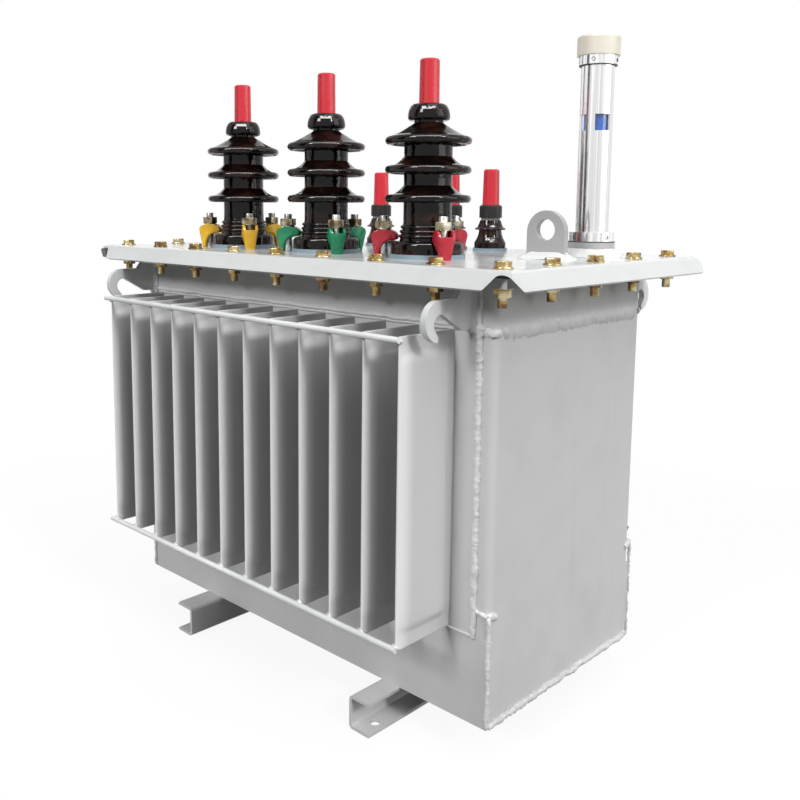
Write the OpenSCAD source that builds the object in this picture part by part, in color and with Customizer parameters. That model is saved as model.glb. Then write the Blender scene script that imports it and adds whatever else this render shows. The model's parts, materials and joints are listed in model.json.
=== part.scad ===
// Sealed oil-filled power transformer with a corrugated tank, three high-voltage bushings,
// four low-voltage bushings and an oil gauge on its bolted lid.
// Millimetres, +Z up, origin on the ground under the middle of the tank, finned front towards -Y.

/* [Feet] */
// Height of the two channel feet
foot_h = 50; // [40:1:80]
// Width of the channel's flanges
foot_flange_w = 38; // [34:1:50]
// Thickness of the channel's steel
foot_t = 4.5; // [3:0.5:7]
// Outer radius of the channel's bends
foot_bend_r = 7; // [7:0.5:10]
// Length of each foot, front to back
foot_l = 500; // [440:5:700]
// Distance between the backs of the two webs
foot_gauge = 378; // [260:2:560]
// How far the pair of feet sits from the middle of the tank
foot_shift = 7; // [-10:1:10]
// Diameter of the holding-down holes
foot_hole_d = 15; // [10:0.5:18]
// Distance of the holding-down holes from the back of the web
foot_hole_line = 22; // [18:0.5:26]
// Distance of the holding-down holes from the ends of the foot
foot_hole_inset = 30; // [20:1:45]

/* [Tank] */
// Length of the tank over its two end plates
tank_l = 770; // [760:5:900]
// Width of the tank over its two finned walls
tank_w = 374; // [360:2:460]
// Thickness of the floor plate
floor_t = 6; // [4:0.5:10]
// Thickness of the end plates, sill plates and collar
plate_t = 5; // [4:0.5:7]
// Thickness of the sheet that the fins stand on
sheet_t = 3; // [2:0.5:5]
// Height of the plain sill plates under the fins
sill_h = 116; // [60:2:180]
// Height of the collar between the fins and the rim
collar_h = 59; // [50:1:90]
// How far each end plate wraps round onto the finned walls
wrap_l = 24; // [16:1:26]
// Outer radius of the bends at the tank's upright corners
bend_r = 12; // [8:1:14]

/* [Fins] */
// Number of fins on each long side
fin_count = 12; // [4:1:12]
// Distance from fin to fin
fin_pitch = 60; // [40:1:60]
// How far the row of fins sits from the middle of the tank
fin_shift = -12; // [-12:1:12]
// How far the fins stand out of the wall
fin_depth = 104; // [60:2:160]
// Height of the fins
fin_h = 400; // [260:5:520]
// Distance from the ends of a fin to the ends of the finned wall
fin_margin = 2; // [1:0.5:10]
// Thickness of a fin over its swollen middle
fin_t = 14; // [10:0.5:20]
// Thickness of a fin along its pressed seams
fin_seam_t = 4; // [3:0.5:6]
// Thickness of a fin at its root
fin_root_t = 9; // [7:0.5:10]
// Depth of the flat strip along the root of a fin
fin_root_strip = 14; // [8:1:24]
// Height of the pressed seam at the top of a fin
fin_top_seam = 17; // [8:1:30]
// Height over which a fin swells below its top seam
fin_top_swell = 11; // [8:1:40]
// Height of the pressed seam at the bottom of a fin
fin_foot_seam = 15; // [6:1:20]
// Height over which a fin swells above its bottom seam
fin_foot_swell = 11; // [8:1:30]
// Height of the slanted facets at the top of a fin's nose
nose_facet_h = 100; // [50:2:120]
// Depth that the slanted facets reach back from the nose
nose_facet_run = 52; // [20:2:60]
// Diameter of the rods across the noses
rod_d = 8; // [6:0.5:12]
// How far the rods run past the middle of the left fin
rod_left_over = 12; // [8:1:24]
// How far the rods run past the middle of the right fin
rod_right_over = 4; // [2:1:20]

/* [Rim and lid] */
// How far the rim flange reaches past the tank
rim_w = 46; // [40:1:48]
// Thickness of the rim flange
rim_t = 12; // [8:0.5:16]
// Thickness of the lid's gasket
gasket_t = 6; // [4:0.5:8]
// Thickness of the lid
lid_t = 4; // [3:0.5:8]
// How far the lid's flat reaches past the tank's ends
lid_over_x = 53; // [52:1:70]
// How far the lid's flat reaches past the tank's finned walls
lid_over_y = 51; // [50:1:70]
// Length of the lid's lips below their bends
lip_l = 24; // [16:1:26]
// Angle of the lips below level
lip_angle = 54; // [35:1:70]
// Inner radius of the lips' bends
lip_bend_r = 4; // [3:0.5:8]
// How far the lower edges of the long lips stop short of the corners
notch_long = 48; // [24:1:60]
// How far the lower edges of the end lips stop short of the corners
notch_end = 23; // [20:1:50]
// Radius of the round at the root of each corner notch
notch_r = 12; // [4:0.5:14]
// Depth of the root of each corner notch below the lid's underside
notch_drop = 1; // [0.5:0.5:4]
// Diameter of the lid's bolt holes
bolt_hole_d = 14; // [10:0.5:16]
// Distance of the line of bolt holes from the tank's walls
bolt_line = 26; // [22:0.5:28]
// Number of bolt holes along a long side
bolts_long = 9; // [5:1:11]
// Number of bolt holes along an end, with the corners
bolts_short = 5; // [3:1:6]

/* [Hooks and lugs] */
// Thickness of the lifting hooks
hook_t = 9; // [6:0.5:12]
// How far the lifting hooks reach out of the wall
hook_reach = 94; // [80:1:130]
// Height of a hook where it is welded to the collar
hook_root_h = 40; // [26:1:44]
// Outer radius of a hook's curl
hook_r = 25.5; // [20:0.5:32]
// Radius of a hook's mouth
hook_mouth_r = 12; // [10:0.5:14]
// Distance of the hooks from the middles of the outer fins
hook_gap = 28; // [18:1:30]
// Distance of the hooks' top edge below the rim
hook_drop = 18; // [10:1:20]
// How far the raised root of a hook reaches out of the wall
hook_rise_run = 36; // [26:1:40]
// Width of the lugs on the lid
lug_w = 61; // [54:1:80]
// Height of the lugs above the lid
lug_h = 68; // [60:1:90]
// Thickness of the lugs
lug_t = 10; // [6:0.5:16]
// Diameter of the lugs' eyes
lug_eye_d = 30; // [20:1:34]
// Height of the eyes' middle above the lid
lug_eye_h = 41; // [34:0.5:42]
// Distance of the lugs' middles from the ends of the tank
lug_inset = 51; // [45:1:65]

/* [High-voltage bushings] */
// Distance between neighbouring high-voltage bushings
hv_pitch = 207; // [160:1:212]
// Distance of the high-voltage bushings from the front of the tank
hv_inset = 77; // [68:1:92]
// Diameter of the gaskets under the high-voltage bushings
hv_gasket_d = 108; // [104:1:112]
// Thickness of those gaskets
hv_gasket_t = 6; // [3:0.5:8]
// Diameter of the bushing's base
hv_base_d = 103; // [96:1:104]
// Height of the bushing's base
hv_base_h = 18; // [12:0.5:24]
// Radius of the base's rounded upper edge
hv_base_r = 6; // [3:0.5:6]
// Diameter of the shoulder where it leaves the base
hv_shoulder_d = 78; // [74:1:79]
// Height of the shoulder above the base
hv_shoulder_h = 26; // [22:1:30]
// Radius of the ridges round the shoulder
hv_ridge_r = 2.5; // [2:0.25:3]
// Number of ridges round the shoulder
hv_ridge_count = 3; // [2:1:3]
// Diameter of the body between the sheds
hv_body_d = 68; // [56:1:72]
// Diameter of the sheds
hv_shed_d = 121; // [100:1:130]
// Number of sheds
hv_shed_count = 3; // [2:1:5]
// Distance from shed to shed
hv_shed_pitch = 40; // [36:1:54]
// Height of the lowest shed's rim above the lid
hv_shed_z = 83; // [78:1:92]
// Radius of the sheds' rims
hv_rim_r = 5.5; // [4:0.25:6.5]
// Height of the lower sheds' slope above their rims
hv_slope_h = 18; // [14:0.5:24]
// Height of the top shed's slope above its rim
hv_top_slope_h = 24; // [16:0.5:30]
// Diameter of the neck above the top shed
hv_neck_d = 41; // [34:1:46]
// Height of the neck above the top shed
hv_neck_h = 3; // [2:0.5:8]
// Diameter of the round head
hv_head_d = 59; // [50:1:62]
// Height of the round head
hv_head_h = 23; // [18:0.5:30]
// Radius of the head's lower edge
hv_lip_r = 5; // [3:0.5:7]
// Diameter of the flat on top of the head
hv_crown_d = 40; // [36:1:46]
// Diameter of the coloured caps at their foot
hv_cap_d = 28.5; // [20:0.5:36]
// Diameter of the coloured caps at their top
hv_cap_top_d = 27.5; // [18:0.5:36]
// Height of the coloured caps
hv_cap_h = 61; // [40:1:90]

/* [Bushing clamps] */
// Number of clamps round each high-voltage bushing
clamp_count = 3; // [3:1:4]
// Angle of the first clamp
clamp_angle = -30; // [-40:1:-20]
// Width of a clamp over its two ears
clamp_w = 30; // [26:0.5:34]
// Width of a clamp below its ears
clamp_body_w = 22.5; // [22:0.5:26]
// Width of a clamp at its foot
clamp_foot_w = 19; // [14:0.5:22]
// Height of the ears above the bushing's base
clamp_t = 16; // [12:0.5:20]
// Depth of the channel between the ears
clamp_channel = 3; // [2:0.5:5]
// Width of the channel between the ears
clamp_channel_w = 22; // [20:0.5:23]
// How far a clamp's nose reaches over the base
clamp_nose = 10; // [8:0.5:11]
// Thickness of the tip of the nose
clamp_tip_t = 7; // [5:0.5:9]
// Distance of the clamp's stud hole from the bushing's middle
clamp_stud_r = 63; // [62:0.5:64]
// Diameter of the clamp's stud hole
clamp_hole_d = 12; // [8:0.5:12]
// Distance from the stud hole to the heel
clamp_heel_gap = 1; // [0.5:0.5:2]
// Thickness of the clamp's heel
clamp_heel_t = 10; // [7:0.5:11]
// How far the back of the heel slants in towards its foot
clamp_slant = 3; // [1:0.5:4]

/* [Low-voltage bushings] */
// Number of low-voltage bushings
lv_count = 4; // [3:1:4]
// Distance between neighbouring low-voltage bushings
lv_pitch = 82.4; // [70:0.2:84]
// Distance of the row's middle from the middle of the lid
lv_shift = 18; // [0:1:20]
// Distance of the low-voltage bushings from the back of the tank
lv_inset = 57; // [50:1:75]
// Diameter of the gaskets under the low-voltage bushings
lv_gasket_d = 56; // [53:0.5:60]
// Thickness of those gaskets
lv_gasket_t = 5; // [2:0.5:6]
// Diameter of the base
lv_base_d = 51.5; // [44:0.5:53]
// Height of the base
lv_base_h = 9; // [6:0.5:18]
// Diameter of the waist under the shed
lv_waist_d = 37; // [34:0.5:42]
// Height of the skirt between base and waist
lv_skirt_h = 21; // [12:0.5:24]
// Diameter of the shed
lv_shed_d = 50.5; // [46:0.5:60]
// Height of the shed's rounded edge
lv_edge_h = 3; // [2:0.25:6]
// Height of the shed's slope
lv_slope_h = 12.5; // [6:0.5:16]
// Diameter of the shed's top
lv_top_d = 34; // [32:0.5:38]
// Diameter of the washer on the shed
lv_washer_d = 31; // [24:0.5:32]
// Height of the washer on the shed
lv_washer_h = 4; // [2:0.5:8]
// Diameter of the round nut on the washer
lv_nut_d = 37; // [32:0.5:40]
// Height of the round nut
lv_nut_h = 21; // [12:0.5:26]
// Height of the chamfer round the nut's top
lv_nut_edge = 2.5; // [1:0.25:3]
// Diameter of the coloured caps at their foot
lv_cap_d = 28; // [20:0.5:30]
// Diameter of the coloured caps at their top
lv_cap_top_d = 25.5; // [18:0.5:30]
// Height of the coloured caps
lv_cap_h = 58; // [40:1:80]
// Height of the chamfer round the top of every coloured cap
cap_edge = 2; // [1:0.25:4]

/* [Oil gauge] */
// Distance of the gauge from the right end of the tank
gauge_inset_x = 52; // [45:1:65]
// Distance of the gauge from the back of the tank
gauge_inset_y = 64; // [50:1:75]
// Diameter of the weld neck on the lid
neck_d = 69; // [64:1:76]
// Height of the weld neck
neck_h = 21; // [10:0.5:26]
// Diameter of the ring on the neck
ring_d = 66; // [60:1:72]
// Height of the ring on the neck
ring_h = 15; // [10:0.5:22]
// Outer diameter of the gauge's tube
tube_d = 48; // [44:0.5:54]
// Wall of the gauge's tube
tube_wall = 3; // [2:0.25:5]
// Height of the gauge's tube
tube_h = 242; // [200:2:320]
// Number of windows round the tube
window_count = 2; // [1:1:4]
// Angle of the first window
window_angle = -36; // [-90:1:0]
// Width of a window
window_w = 22; // [16:0.5:26]
// Height of a window
window_h = 23.5; // [18:0.5:40]
// Height of the windows' sills above the foot of the tube
window_z = 148; // [120:1:160]
// Wall of the clear sleeve inside the tube
sleeve_wall = 2.5; // [2:0.25:3]
// How far the clear sleeve reaches past the windows
sleeve_over = 12; // [6:1:20]
// Height of the float
float_h = 30; // [14:1:40]
// Clearance between tube, sleeve and float
gauge_play = 0.3; // [0.2:0.05:0.6]
// Diameter of the collar on the tube
gauge_collar_d = 55; // [52:1:62]
// Height of the collar
gauge_collar_h = 14; // [10:0.5:24]
// Diameter of the gauge's cap
gauge_cap_d = 62; // [58:1:72]
// Height of the gauge's cap
gauge_cap_h = 29; // [20:1:40]
// Radius of the cap's rounded edge
gauge_cap_r = 5; // [2:0.5:8]

/* [Hidden] */
$fn = 64;
// Overrun of every cut
over = 1;
// Play between a rod and the noses that it is welded across
weld_play = 0.2;

// Heights of the main levels
floor_z = foot_h;
sill_z = floor_z + floor_t;
wall_z = sill_z + sill_h;
wall_h = fin_h + 2 * fin_margin;
collar_z = wall_z + wall_h;
rim_z = collar_z + collar_h;
gasket_z = rim_z + rim_t;
lid_z = gasket_z + gasket_t;
top_z = lid_z + lid_t;

// Halves of the tank and of what lies on it
half_l = tank_l / 2;
half_w = tank_w / 2;
rim_half_l = half_l + rim_w;
rim_half_w = half_w + rim_w;
fold_x = half_l + lid_over_x;
fold_y = half_w + lid_over_y;

// Places of the bolt holes round the lid
bolt_x = half_l + bolt_line;
bolt_y = half_w + bolt_line;
bolt_step_x = 2 * bolt_x / (bolts_long - 1);
bolt_step_y = 2 * bolt_y / (bolts_short - 1);
long_bolts = [for (i = [0 : bolts_long - 1], s = [-1, 1]) [i * bolt_step_x - bolt_x, s * bolt_y]];
end_bolts = [for (j = [1 : bolts_short - 2], s = [-1, 1]) [s * bolt_x, j * bolt_step_y - bolt_y]];
bolt_places = concat(long_bolts, end_bolts);

// Straight steps round the bend of a lip and round the root of a notch
bend_steps = 6;
notch_steps = 10;
// How far a lip reaches out past its fold, and how far its edge hangs below the lid's underside
lip_reach = (lip_bend_r + lid_t) * sin(lip_angle) + lip_l * cos(lip_angle);
lip_drop = lip_bend_r * (1 - cos(lip_angle)) + lip_l * sin(lip_angle);

// The points of half an outline, then the same points mirrored on the way back
function both_flanks(half) =
  concat(half, [for (i = [len(half) - 1 : -1 : 0]) [-half[i][0], half[i][1]]]);

// Fins
fin_thin = (fin_t - fin_seam_t) / 2;
fin_z = wall_z + fin_margin;
fin_row_l = (fin_count - 1) * fin_pitch;
fin_first_x = fin_shift - fin_row_l / 2;
rod_x = fin_first_x - rod_left_over;
rod_l = rod_left_over + fin_row_l + rod_right_over;
rod_y = half_w + fin_depth + rod_d / 2 + weld_play;
rod_low_z = fin_z + rod_d / 2;
rod_high_z = fin_z + fin_h - rod_d / 2;

// Hooks
hook_half_l = fin_row_l / 2 + hook_gap;
hook_top_z = rim_z - hook_drop;
hook_curl_s = hook_reach - hook_r;
hook_slope = 29;
hook_mouth_share = 0.71;
hook_mouth_drop_share = 1.13;
hook_throat_share = 0.25;
hook_rise_share = 0.6;
hook_tip_share = 0.82;
hook_lip_share = 0.745;
hook_lip_drop_share = 1.74;

// Bushings
hv_places = [for (i = [-1 : 1]) i * hv_pitch];
hv_y = half_w - hv_inset;
hv_foot_z = top_z + hv_gasket_t;
hv_top_shed_z = hv_shed_z + (hv_shed_count - 1) * hv_shed_pitch;
hv_neck_z = hv_top_shed_z + hv_top_slope_h;
hv_slope_steps = 6;
// Powers of the sheds' slopes: the lower ones are hollow, the top one is nearly straight
hv_slope_share = 2;
hv_top_slope_share = 1.25;
hv_under_share = 0.55;
hv_head_z = hv_neck_z + hv_neck_h;
hv_cap_z = top_z + hv_head_z + hv_head_h;
clamp_seat_z = hv_gasket_t + hv_base_h;
clamp_top_z = clamp_seat_z + clamp_t;
clamp_heel_r = clamp_stud_r + clamp_hole_d / 2 + clamp_heel_gap;
clamp_end_r = clamp_heel_r + clamp_heel_t;
// How high the arch, the body and the ears start, as shares of the clamp's whole height
clamp_arch_share = 0.25;
clamp_body_share = 0.6;
clamp_ear_share = 0.78;
clamp_colours = ["gold", "seagreen", "firebrick"];
lv_places = [for (i = [0 : lv_count - 1]) lv_shift + (i - (lv_count - 1) / 2) * lv_pitch];
lv_y = half_w - lv_inset;
lv_foot_z = top_z + lv_gasket_t;
lv_slope_steps = 5;
lv_cap_z = lv_foot_z + lv_base_h + lv_skirt_h + lv_edge_h + lv_slope_h + lv_washer_h + lv_nut_h;

// Oil gauge
gauge_x = half_l - gauge_inset_x;
gauge_y = half_w - gauge_inset_y;
ring_z = top_z + neck_h;
tube_z = ring_z + ring_h;
tube_bore_d = tube_d - 2 * tube_wall;
sleeve_d = tube_bore_d - 2 * gauge_play;
float_d = sleeve_d - 2 * sleeve_wall - 2 * gauge_play;
sleeve_z = tube_z + window_z - sleeve_over;
sleeve_h = window_h + 2 * sleeve_over;
float_z = tube_z + window_z + (window_h - float_h) / 2;
gauge_collar_z = tube_z + tube_h;
gauge_cap_z = gauge_collar_z + gauge_collar_h;

// Colours
grey_paint = "lightgrey";
porcelain = "#1c1412";
cap_red = "crimson";
rubber = "slategrey";
polished = "silver";

// A copy of the children on the front, or turned half round for the back
module on_side(side) {
  if (side < 0)
    children();
  else
    mirror([0, 1, 0]) children();
}

// Section of a channel with two bends, its web's back on x = 0, drawn in by inset and open past the tips
module channel_core(inset, tip_x) {
  r = foot_bend_r - inset;
  translate([foot_bend_r, inset])
    square([tip_x - foot_bend_r, foot_h - 2 * inset]);
  translate([inset, foot_bend_r])
    square([tip_x - inset, foot_h - 2 * foot_bend_r]);
  for (z = [foot_bend_r, foot_h - foot_bend_r])
    translate([foot_bend_r, z])
      circle(r = r);
}

// Channel lying along Y, its web's back on x = 0 and its flanges towards +X
module channel() {
  difference() {
    translate([0, foot_l / 2, 0])
      rotate([90, 0, 0])
        linear_extrude(foot_l)
          difference() {
            channel_core(0, foot_flange_w);
            channel_core(foot_t, foot_flange_w + over);
          }
    for (s = [-1, 1])
      translate([foot_hole_line, s * (foot_l / 2 - foot_hole_inset), -over])
        cylinder(d = foot_hole_d, h = foot_t + 2 * over);
  }
}

module left_foot() {
  color(grey_paint) translate([foot_shift - foot_gauge / 2, 0, 0]) mirror([1, 0, 0]) channel();
}

module right_foot() {
  color(grey_paint) translate([foot_shift + foot_gauge / 2, 0, 0]) channel();
}

module tank_floor() {
  color(grey_paint)
    translate([-half_l, -half_w, floor_z])
      cube([tank_l, tank_w, floor_t]);
}

// Outline of the tank with its bent corners, seen from above, drawn in by inset
module bent_outline(inset) {
  r = bend_r - inset;
  union() {
    square([tank_l - 2 * bend_r, tank_w - 2 * inset], center = true);
    square([tank_l - 2 * inset, tank_w - 2 * bend_r], center = true);
    for (sx = [-1, 1], sy = [-1, 1])
      translate([sx * (half_l - bend_r), sy * (half_w - bend_r)])
        circle(r = r);
  }
}

// End plate: flat between the sills below, bent round both corners above
module end_plate() {
  translate([half_l - plate_t, -half_w + plate_t, sill_z])
    cube([plate_t, tank_w - 2 * plate_t, sill_h]);
  translate([0, 0, wall_z])
    linear_extrude(wall_h)
      difference() {
        intersection() {
          bent_outline(0);
          translate([half_l - wrap_l, -half_w])
            square([wrap_l, tank_w]);
        }
        bent_outline(plate_t);
      }
}

module left_end_plate() {
  color(grey_paint) mirror([1, 0, 0]) end_plate();
}

module right_end_plate() {
  color(grey_paint) end_plate();
}

module sill() {
  translate([-half_l, -half_w, sill_z])
    cube([tank_l, plate_t, sill_h]);
}

module front_sill() {
  color(grey_paint) on_side(-1) sill();
}

module back_sill() {
  color(grey_paint) on_side(1) sill();
}

module wall_sheet() {
  translate([wrap_l - half_l, -half_w, wall_z])
    cube([tank_l - 2 * wrap_l, sheet_t, wall_h]);
}

module front_wall() {
  color(grey_paint) on_side(-1) wall_sheet();
}

module back_wall() {
  color(grey_paint) on_side(1) wall_sheet();
}

// Wedge that cuts one flank of a fin's nose down to the top seam.
// Its slanted face starts at the local origin, on the flank at the nose.
module nose_cut() {
  normal = [nose_facet_h * nose_facet_run, fin_thin * nose_facet_h, fin_thin * nose_facet_run];
  reach = nose_facet_h + nose_facet_run + fin_t;
  intersection() {
    rotate([0, acos(normal[2] / norm(normal)), atan2(normal[1], normal[0])])
      translate([-reach, -reach, 0])
        cube([2 * reach, 2 * reach, reach]);
    translate([-fin_thin, -reach, -reach])
      cube([reach, 2 * reach, 2 * reach]);
  }
}

// A fin seen from above, from its root on y = 0 to its rounded nose
module fin_plan() {
  nose_y = fin_depth - fin_t / 2;
  swell_y = fin_root_strip + fin_t - fin_root_t;
  half = [
    [fin_root_t / 2, 0],
    [fin_root_t / 2, fin_root_strip],
    [fin_t / 2, swell_y],
    [fin_t / 2, nose_y]
  ];
  polygon(both_flanks(half));
  translate([0, nose_y])
    circle(d = fin_t);
}

// A fin seen end on, with its pressed seams at the bottom and at the top
module fin_profile() {
  half = [
    [fin_seam_t / 2, 0],
    [fin_seam_t / 2, fin_foot_seam],
    [fin_t / 2, fin_foot_seam + fin_foot_swell],
    [fin_t / 2, fin_h - fin_top_seam - fin_top_swell],
    [fin_seam_t / 2, fin_h - fin_top_seam],
    [fin_seam_t / 2, fin_h]
  ];
  polygon(both_flanks(half));
}

// One fin as pressed from sheet: flat seams at top, bottom and root, swollen between them
module fin() {
  difference() {
    intersection() {
      linear_extrude(fin_h)
        fin_plan();
      translate([0, fin_depth, 0])
        rotate([90, 0, 0])
          linear_extrude(fin_depth)
            fin_profile();
    }
    for (flank = [0, 1])
      mirror([flank, 0, 0])
        translate([fin_t / 2, fin_depth, fin_h - fin_top_seam - nose_facet_h])
          nose_cut();
  }
}

module fins() {
  for (i = [0 : fin_count - 1])
    translate([fin_first_x + i * fin_pitch, -half_w, fin_z])
      mirror([0, 1, 0])
        fin();
}

module front_fins() {
  color(grey_paint) on_side(-1) fins();
}

module back_fins() {
  color(grey_paint) on_side(1) fins();
}

// The two round rods that tie the noses together
module rods() {
  for (z = [rod_low_z, rod_high_z])
    translate([rod_x, -rod_y, z])
      rotate([0, 90, 0])
        cylinder(d = rod_d, h = rod_l);
}

module front_rods() {
  color(grey_paint) on_side(-1) rods();
}

module back_rods() {
  color(grey_paint) on_side(1) rods();
}

module collar() {
  color(grey_paint)
    translate([0, 0, collar_z])
      linear_extrude(collar_h)
        difference() {
          bent_outline(0);
          bent_outline(plate_t);
        }
}

// The bolt holes round the lid, through a plate of thickness t that starts at height 0
module bolt_holes(t) {
  for (place = bolt_places)
    translate([place[0], place[1], -over])
      cylinder(d = bolt_hole_d, h = t + 2 * over);
}

// Flat ring over the collar, open inside, reaching out to the rim's edge
module bolted_ring(t) {
  difference() {
    translate([-rim_half_l, -rim_half_w, 0])
      cube([2 * rim_half_l, 2 * rim_half_w, t]);
    translate([0, 0, -over])
      linear_extrude(t + 2 * over)
        bent_outline(plate_t);
    bolt_holes(t);
  }
}

module rim_flange() {
  color(grey_paint) translate([0, 0, rim_z]) bolted_ring(rim_t);
}

module lid_gasket() {
  color(rubber) translate([0, 0, gasket_z]) bolted_ring(gasket_t);
}

// One half of a face of the bent sheet: round the fold at half_fold, then straight down for length
function sheet_face(half_fold, r, length) =
  concat(
    [for (i = [0 : bend_steps]) let (a = i * lip_angle / bend_steps) [half_fold + r * sin(a), r * cos(a)]],
    [[
      half_fold + r * sin(lip_angle) + length * cos(lip_angle),
      r * cos(lip_angle) - length * sin(lip_angle)
    ]]
  );

// All that lies under the sheet's outer face, as far down as the inner edge of its lips
module under_outer_face(half_fold, span) {
  inner_end = sheet_face(half_fold, lip_bend_r, lip_l)[bend_steps + 1];
  prism_along_x(span)
    polygon(both_flanks(concat(sheet_face(half_fold, lip_bend_r + lid_t, lip_l), [inner_end])));
}

// All that lies under the sheet's inner face, running on below its lips
module under_inner_face(half_fold, span) {
  prism_along_x(span)
    polygon(both_flanks(sheet_face(half_fold, lip_bend_r, lip_l + lid_t)));
}

// A section drawn in Y and Z, carried along X, with its origin at the middle of the lips' bends
module prism_along_x(span) {
  translate([-span, 0, lid_z - lip_bend_r])
    rotate([90, 0, 90])
      linear_extrude(2 * span)
        children();
}

// Notch through the lips at a corner: a tent with a round ridge, pointing out along +X from the corner
module corner_notch() {
  far = 2 * (fold_x + lip_reach);
  half_base = (notch_long + notch_end) * sin(45) / 2;
  side = (notch_long - notch_end) * sin(45) / 2;
  fall = lip_drop - notch_drop - notch_r;
  tangent = acos(notch_r / norm([half_base, fall])) - atan2(fall, half_base);
  ridge = [
    for (i = [0 : notch_steps])
      let (a = tangent + i * (180 - 2 * tangent) / notch_steps)
        notch_r * [cos(a), sin(a)]
  ];
  foot = [half_base, -fall];
  below = foot + over * (foot - ridge[0]) / notch_r;
  translate([-lip_reach, side, lid_z - notch_drop - notch_r])
    rotate([90, 0, 90])
      linear_extrude(far)
        polygon(concat([below], ridge, [[-below[0], below[1]]]));
}

module lid() {
  color("whitesmoke")
    difference() {
      intersection() {
        under_outer_face(fold_y, fold_x + 2 * lip_reach);
        rotate(90) under_outer_face(fold_x, fold_y + 2 * lip_reach);
      }
      intersection() {
        under_inner_face(fold_y, fold_x + 2 * lip_reach);
        rotate(90) under_inner_face(fold_x, fold_y + 2 * lip_reach);
      }
      translate([0, 0, lid_z])
        bolt_holes(lid_t);
      for (sx = [0, 1], sy = [0, 1])
        mirror([sx, 0, 0])
          mirror([0, sy, 0])
            translate([fold_x, fold_y, 0])
              rotate(45)
                corner_notch();
    }
}

// Outline of a lifting hook, welded to the collar at x = 0 and raised there to the rim, its top edge on y = 0
module hook_outline() {
  mouth = [hook_mouth_share * hook_reach, -hook_mouth_drop_share * hook_r];
  throat = [hook_throat_share * hook_reach, -hook_root_h];
  lip_end = [hook_lip_share * hook_reach, -hook_lip_drop_share * hook_r];
  below = -2 * hook_r - hook_root_h;
  difference() {
    union() {
      translate([0, -hook_root_h])
        square([hook_curl_s, hook_root_h]);
      polygon([[0, 0], [hook_rise_run, 0], [hook_rise_share * hook_rise_run, hook_drop], [0, hook_drop]]);
      translate([hook_curl_s, -hook_r])
        circle(r = hook_r);
    }
    translate(mouth)
      circle(r = hook_mouth_r);
    polygon([
      mouth + hook_mouth_r * [-sin(hook_slope), cos(hook_slope)],
      throat,
      [throat[0], below],
      [hook_tip_share * hook_reach, below],
      lip_end,
      mouth + hook_mouth_r * [cos(hook_slope), -sin(hook_slope)]
    ]);
  }
}

module hook(side_x) {
  translate([fin_shift + side_x * hook_half_l - hook_t / 2, -half_w, hook_top_z])
    rotate([90, 0, 90])
      linear_extrude(hook_t)
        mirror([1, 0])
          hook_outline();
}

module front_left_hook() {
  color(grey_paint) on_side(-1) hook(-1);
}

module front_right_hook() {
  color(grey_paint) on_side(-1) hook(1);
}

module back_left_hook() {
  color(grey_paint) on_side(1) hook(-1);
}

module back_right_hook() {
  color(grey_paint) on_side(1) hook(1);
}

// Lug across the lid's middle line, with a round top and an eye
module lug(side_x) {
  translate([side_x * (half_l - lug_inset), lug_t / 2, top_z])
    rotate([90, 0, 0])
      difference() {
        linear_extrude(lug_t)
          union() {
            translate([-lug_w / 2, 0])
              square([lug_w, lug_h - lug_w / 2]);
            translate([0, lug_h - lug_w / 2])
              circle(d = lug_w);
          }
        translate([0, lug_eye_h, -over])
          cylinder(d = lug_eye_d, h = lug_t + 2 * over);
      }
}

module left_lug() {
  color(grey_paint) lug(-1);
}

module right_lug() {
  color(grey_paint) lug(1);
}

module hv_gaskets() {
  color(rubber)
    for (x = hv_places)
      translate([x, -hv_y, top_z])
        cylinder(d = hv_gasket_d, h = hv_gasket_t);
}

// Half section of one shed: round rim, undercut below, slope up to inner_r above
module shed_section(rim_z, inner_r, slope_h, power) {
  rim_x = hv_shed_d / 2 - hv_rim_r;
  under_z = rim_z + hv_under_share * hv_rim_r;
  slope = [
    for (i = [0 : hv_slope_steps])
      let (t = i / hv_slope_steps)
        [rim_x + t * (inner_r - rim_x), rim_z + hv_rim_r + pow(t, power) * (slope_h - hv_rim_r)]
  ];
  translate([rim_x, rim_z])
    circle(r = hv_rim_r);
  polygon(concat(
    [[0, under_z], [hv_body_d / 2, under_z], [rim_x, rim_z - hv_rim_r]],
    slope,
    [[0, rim_z + slope_h]]
  ));
}

// Half section of the bushing's foot: base with a rounded edge and ridged shoulder, standing on y = 0
module hv_foot_section() {
  flat_r = hv_base_d / 2 - hv_base_r;
  ridge_run = (hv_shoulder_d - hv_body_d) / 2;
  square([flat_r, hv_base_h]);
  square([hv_base_d / 2, hv_base_h - hv_base_r]);
  translate([flat_r, hv_base_h - hv_base_r])
    circle(r = hv_base_r);
  translate([0, hv_base_h]) {
    polygon([[0, 0], [hv_shoulder_d / 2, 0], [hv_body_d / 2, hv_shoulder_h], [0, hv_shoulder_h]]);
    for (i = [1 : hv_ridge_count])
      let (share = i / (hv_ridge_count + 1))
        translate([hv_shoulder_d / 2 - share * ridge_run, share * hv_shoulder_h])
          circle(r = hv_ridge_r);
  }
}

// Half section of a high-voltage bushing, from the lid's top at y = 0
module hv_section() {
  translate([0, hv_gasket_t])
    hv_foot_section();
  translate([0, clamp_seat_z])
    square([hv_body_d / 2, hv_top_shed_z - clamp_seat_z]);
  intersection() {
    union() {
      for (i = [0 : hv_shed_count - 2])
        shed_section(hv_shed_z + i * hv_shed_pitch, hv_body_d / 2, hv_slope_h, hv_slope_share);
      shed_section(hv_top_shed_z, hv_neck_d / 2, hv_top_slope_h, hv_top_slope_share);
    }
    square([hv_shed_d, hv_head_z]);
  }
  translate([0, hv_top_shed_z])
    square([hv_neck_d / 2, hv_head_z - hv_top_shed_z]);
  translate([0, hv_head_z])
    hv_head_section();
}

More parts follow.
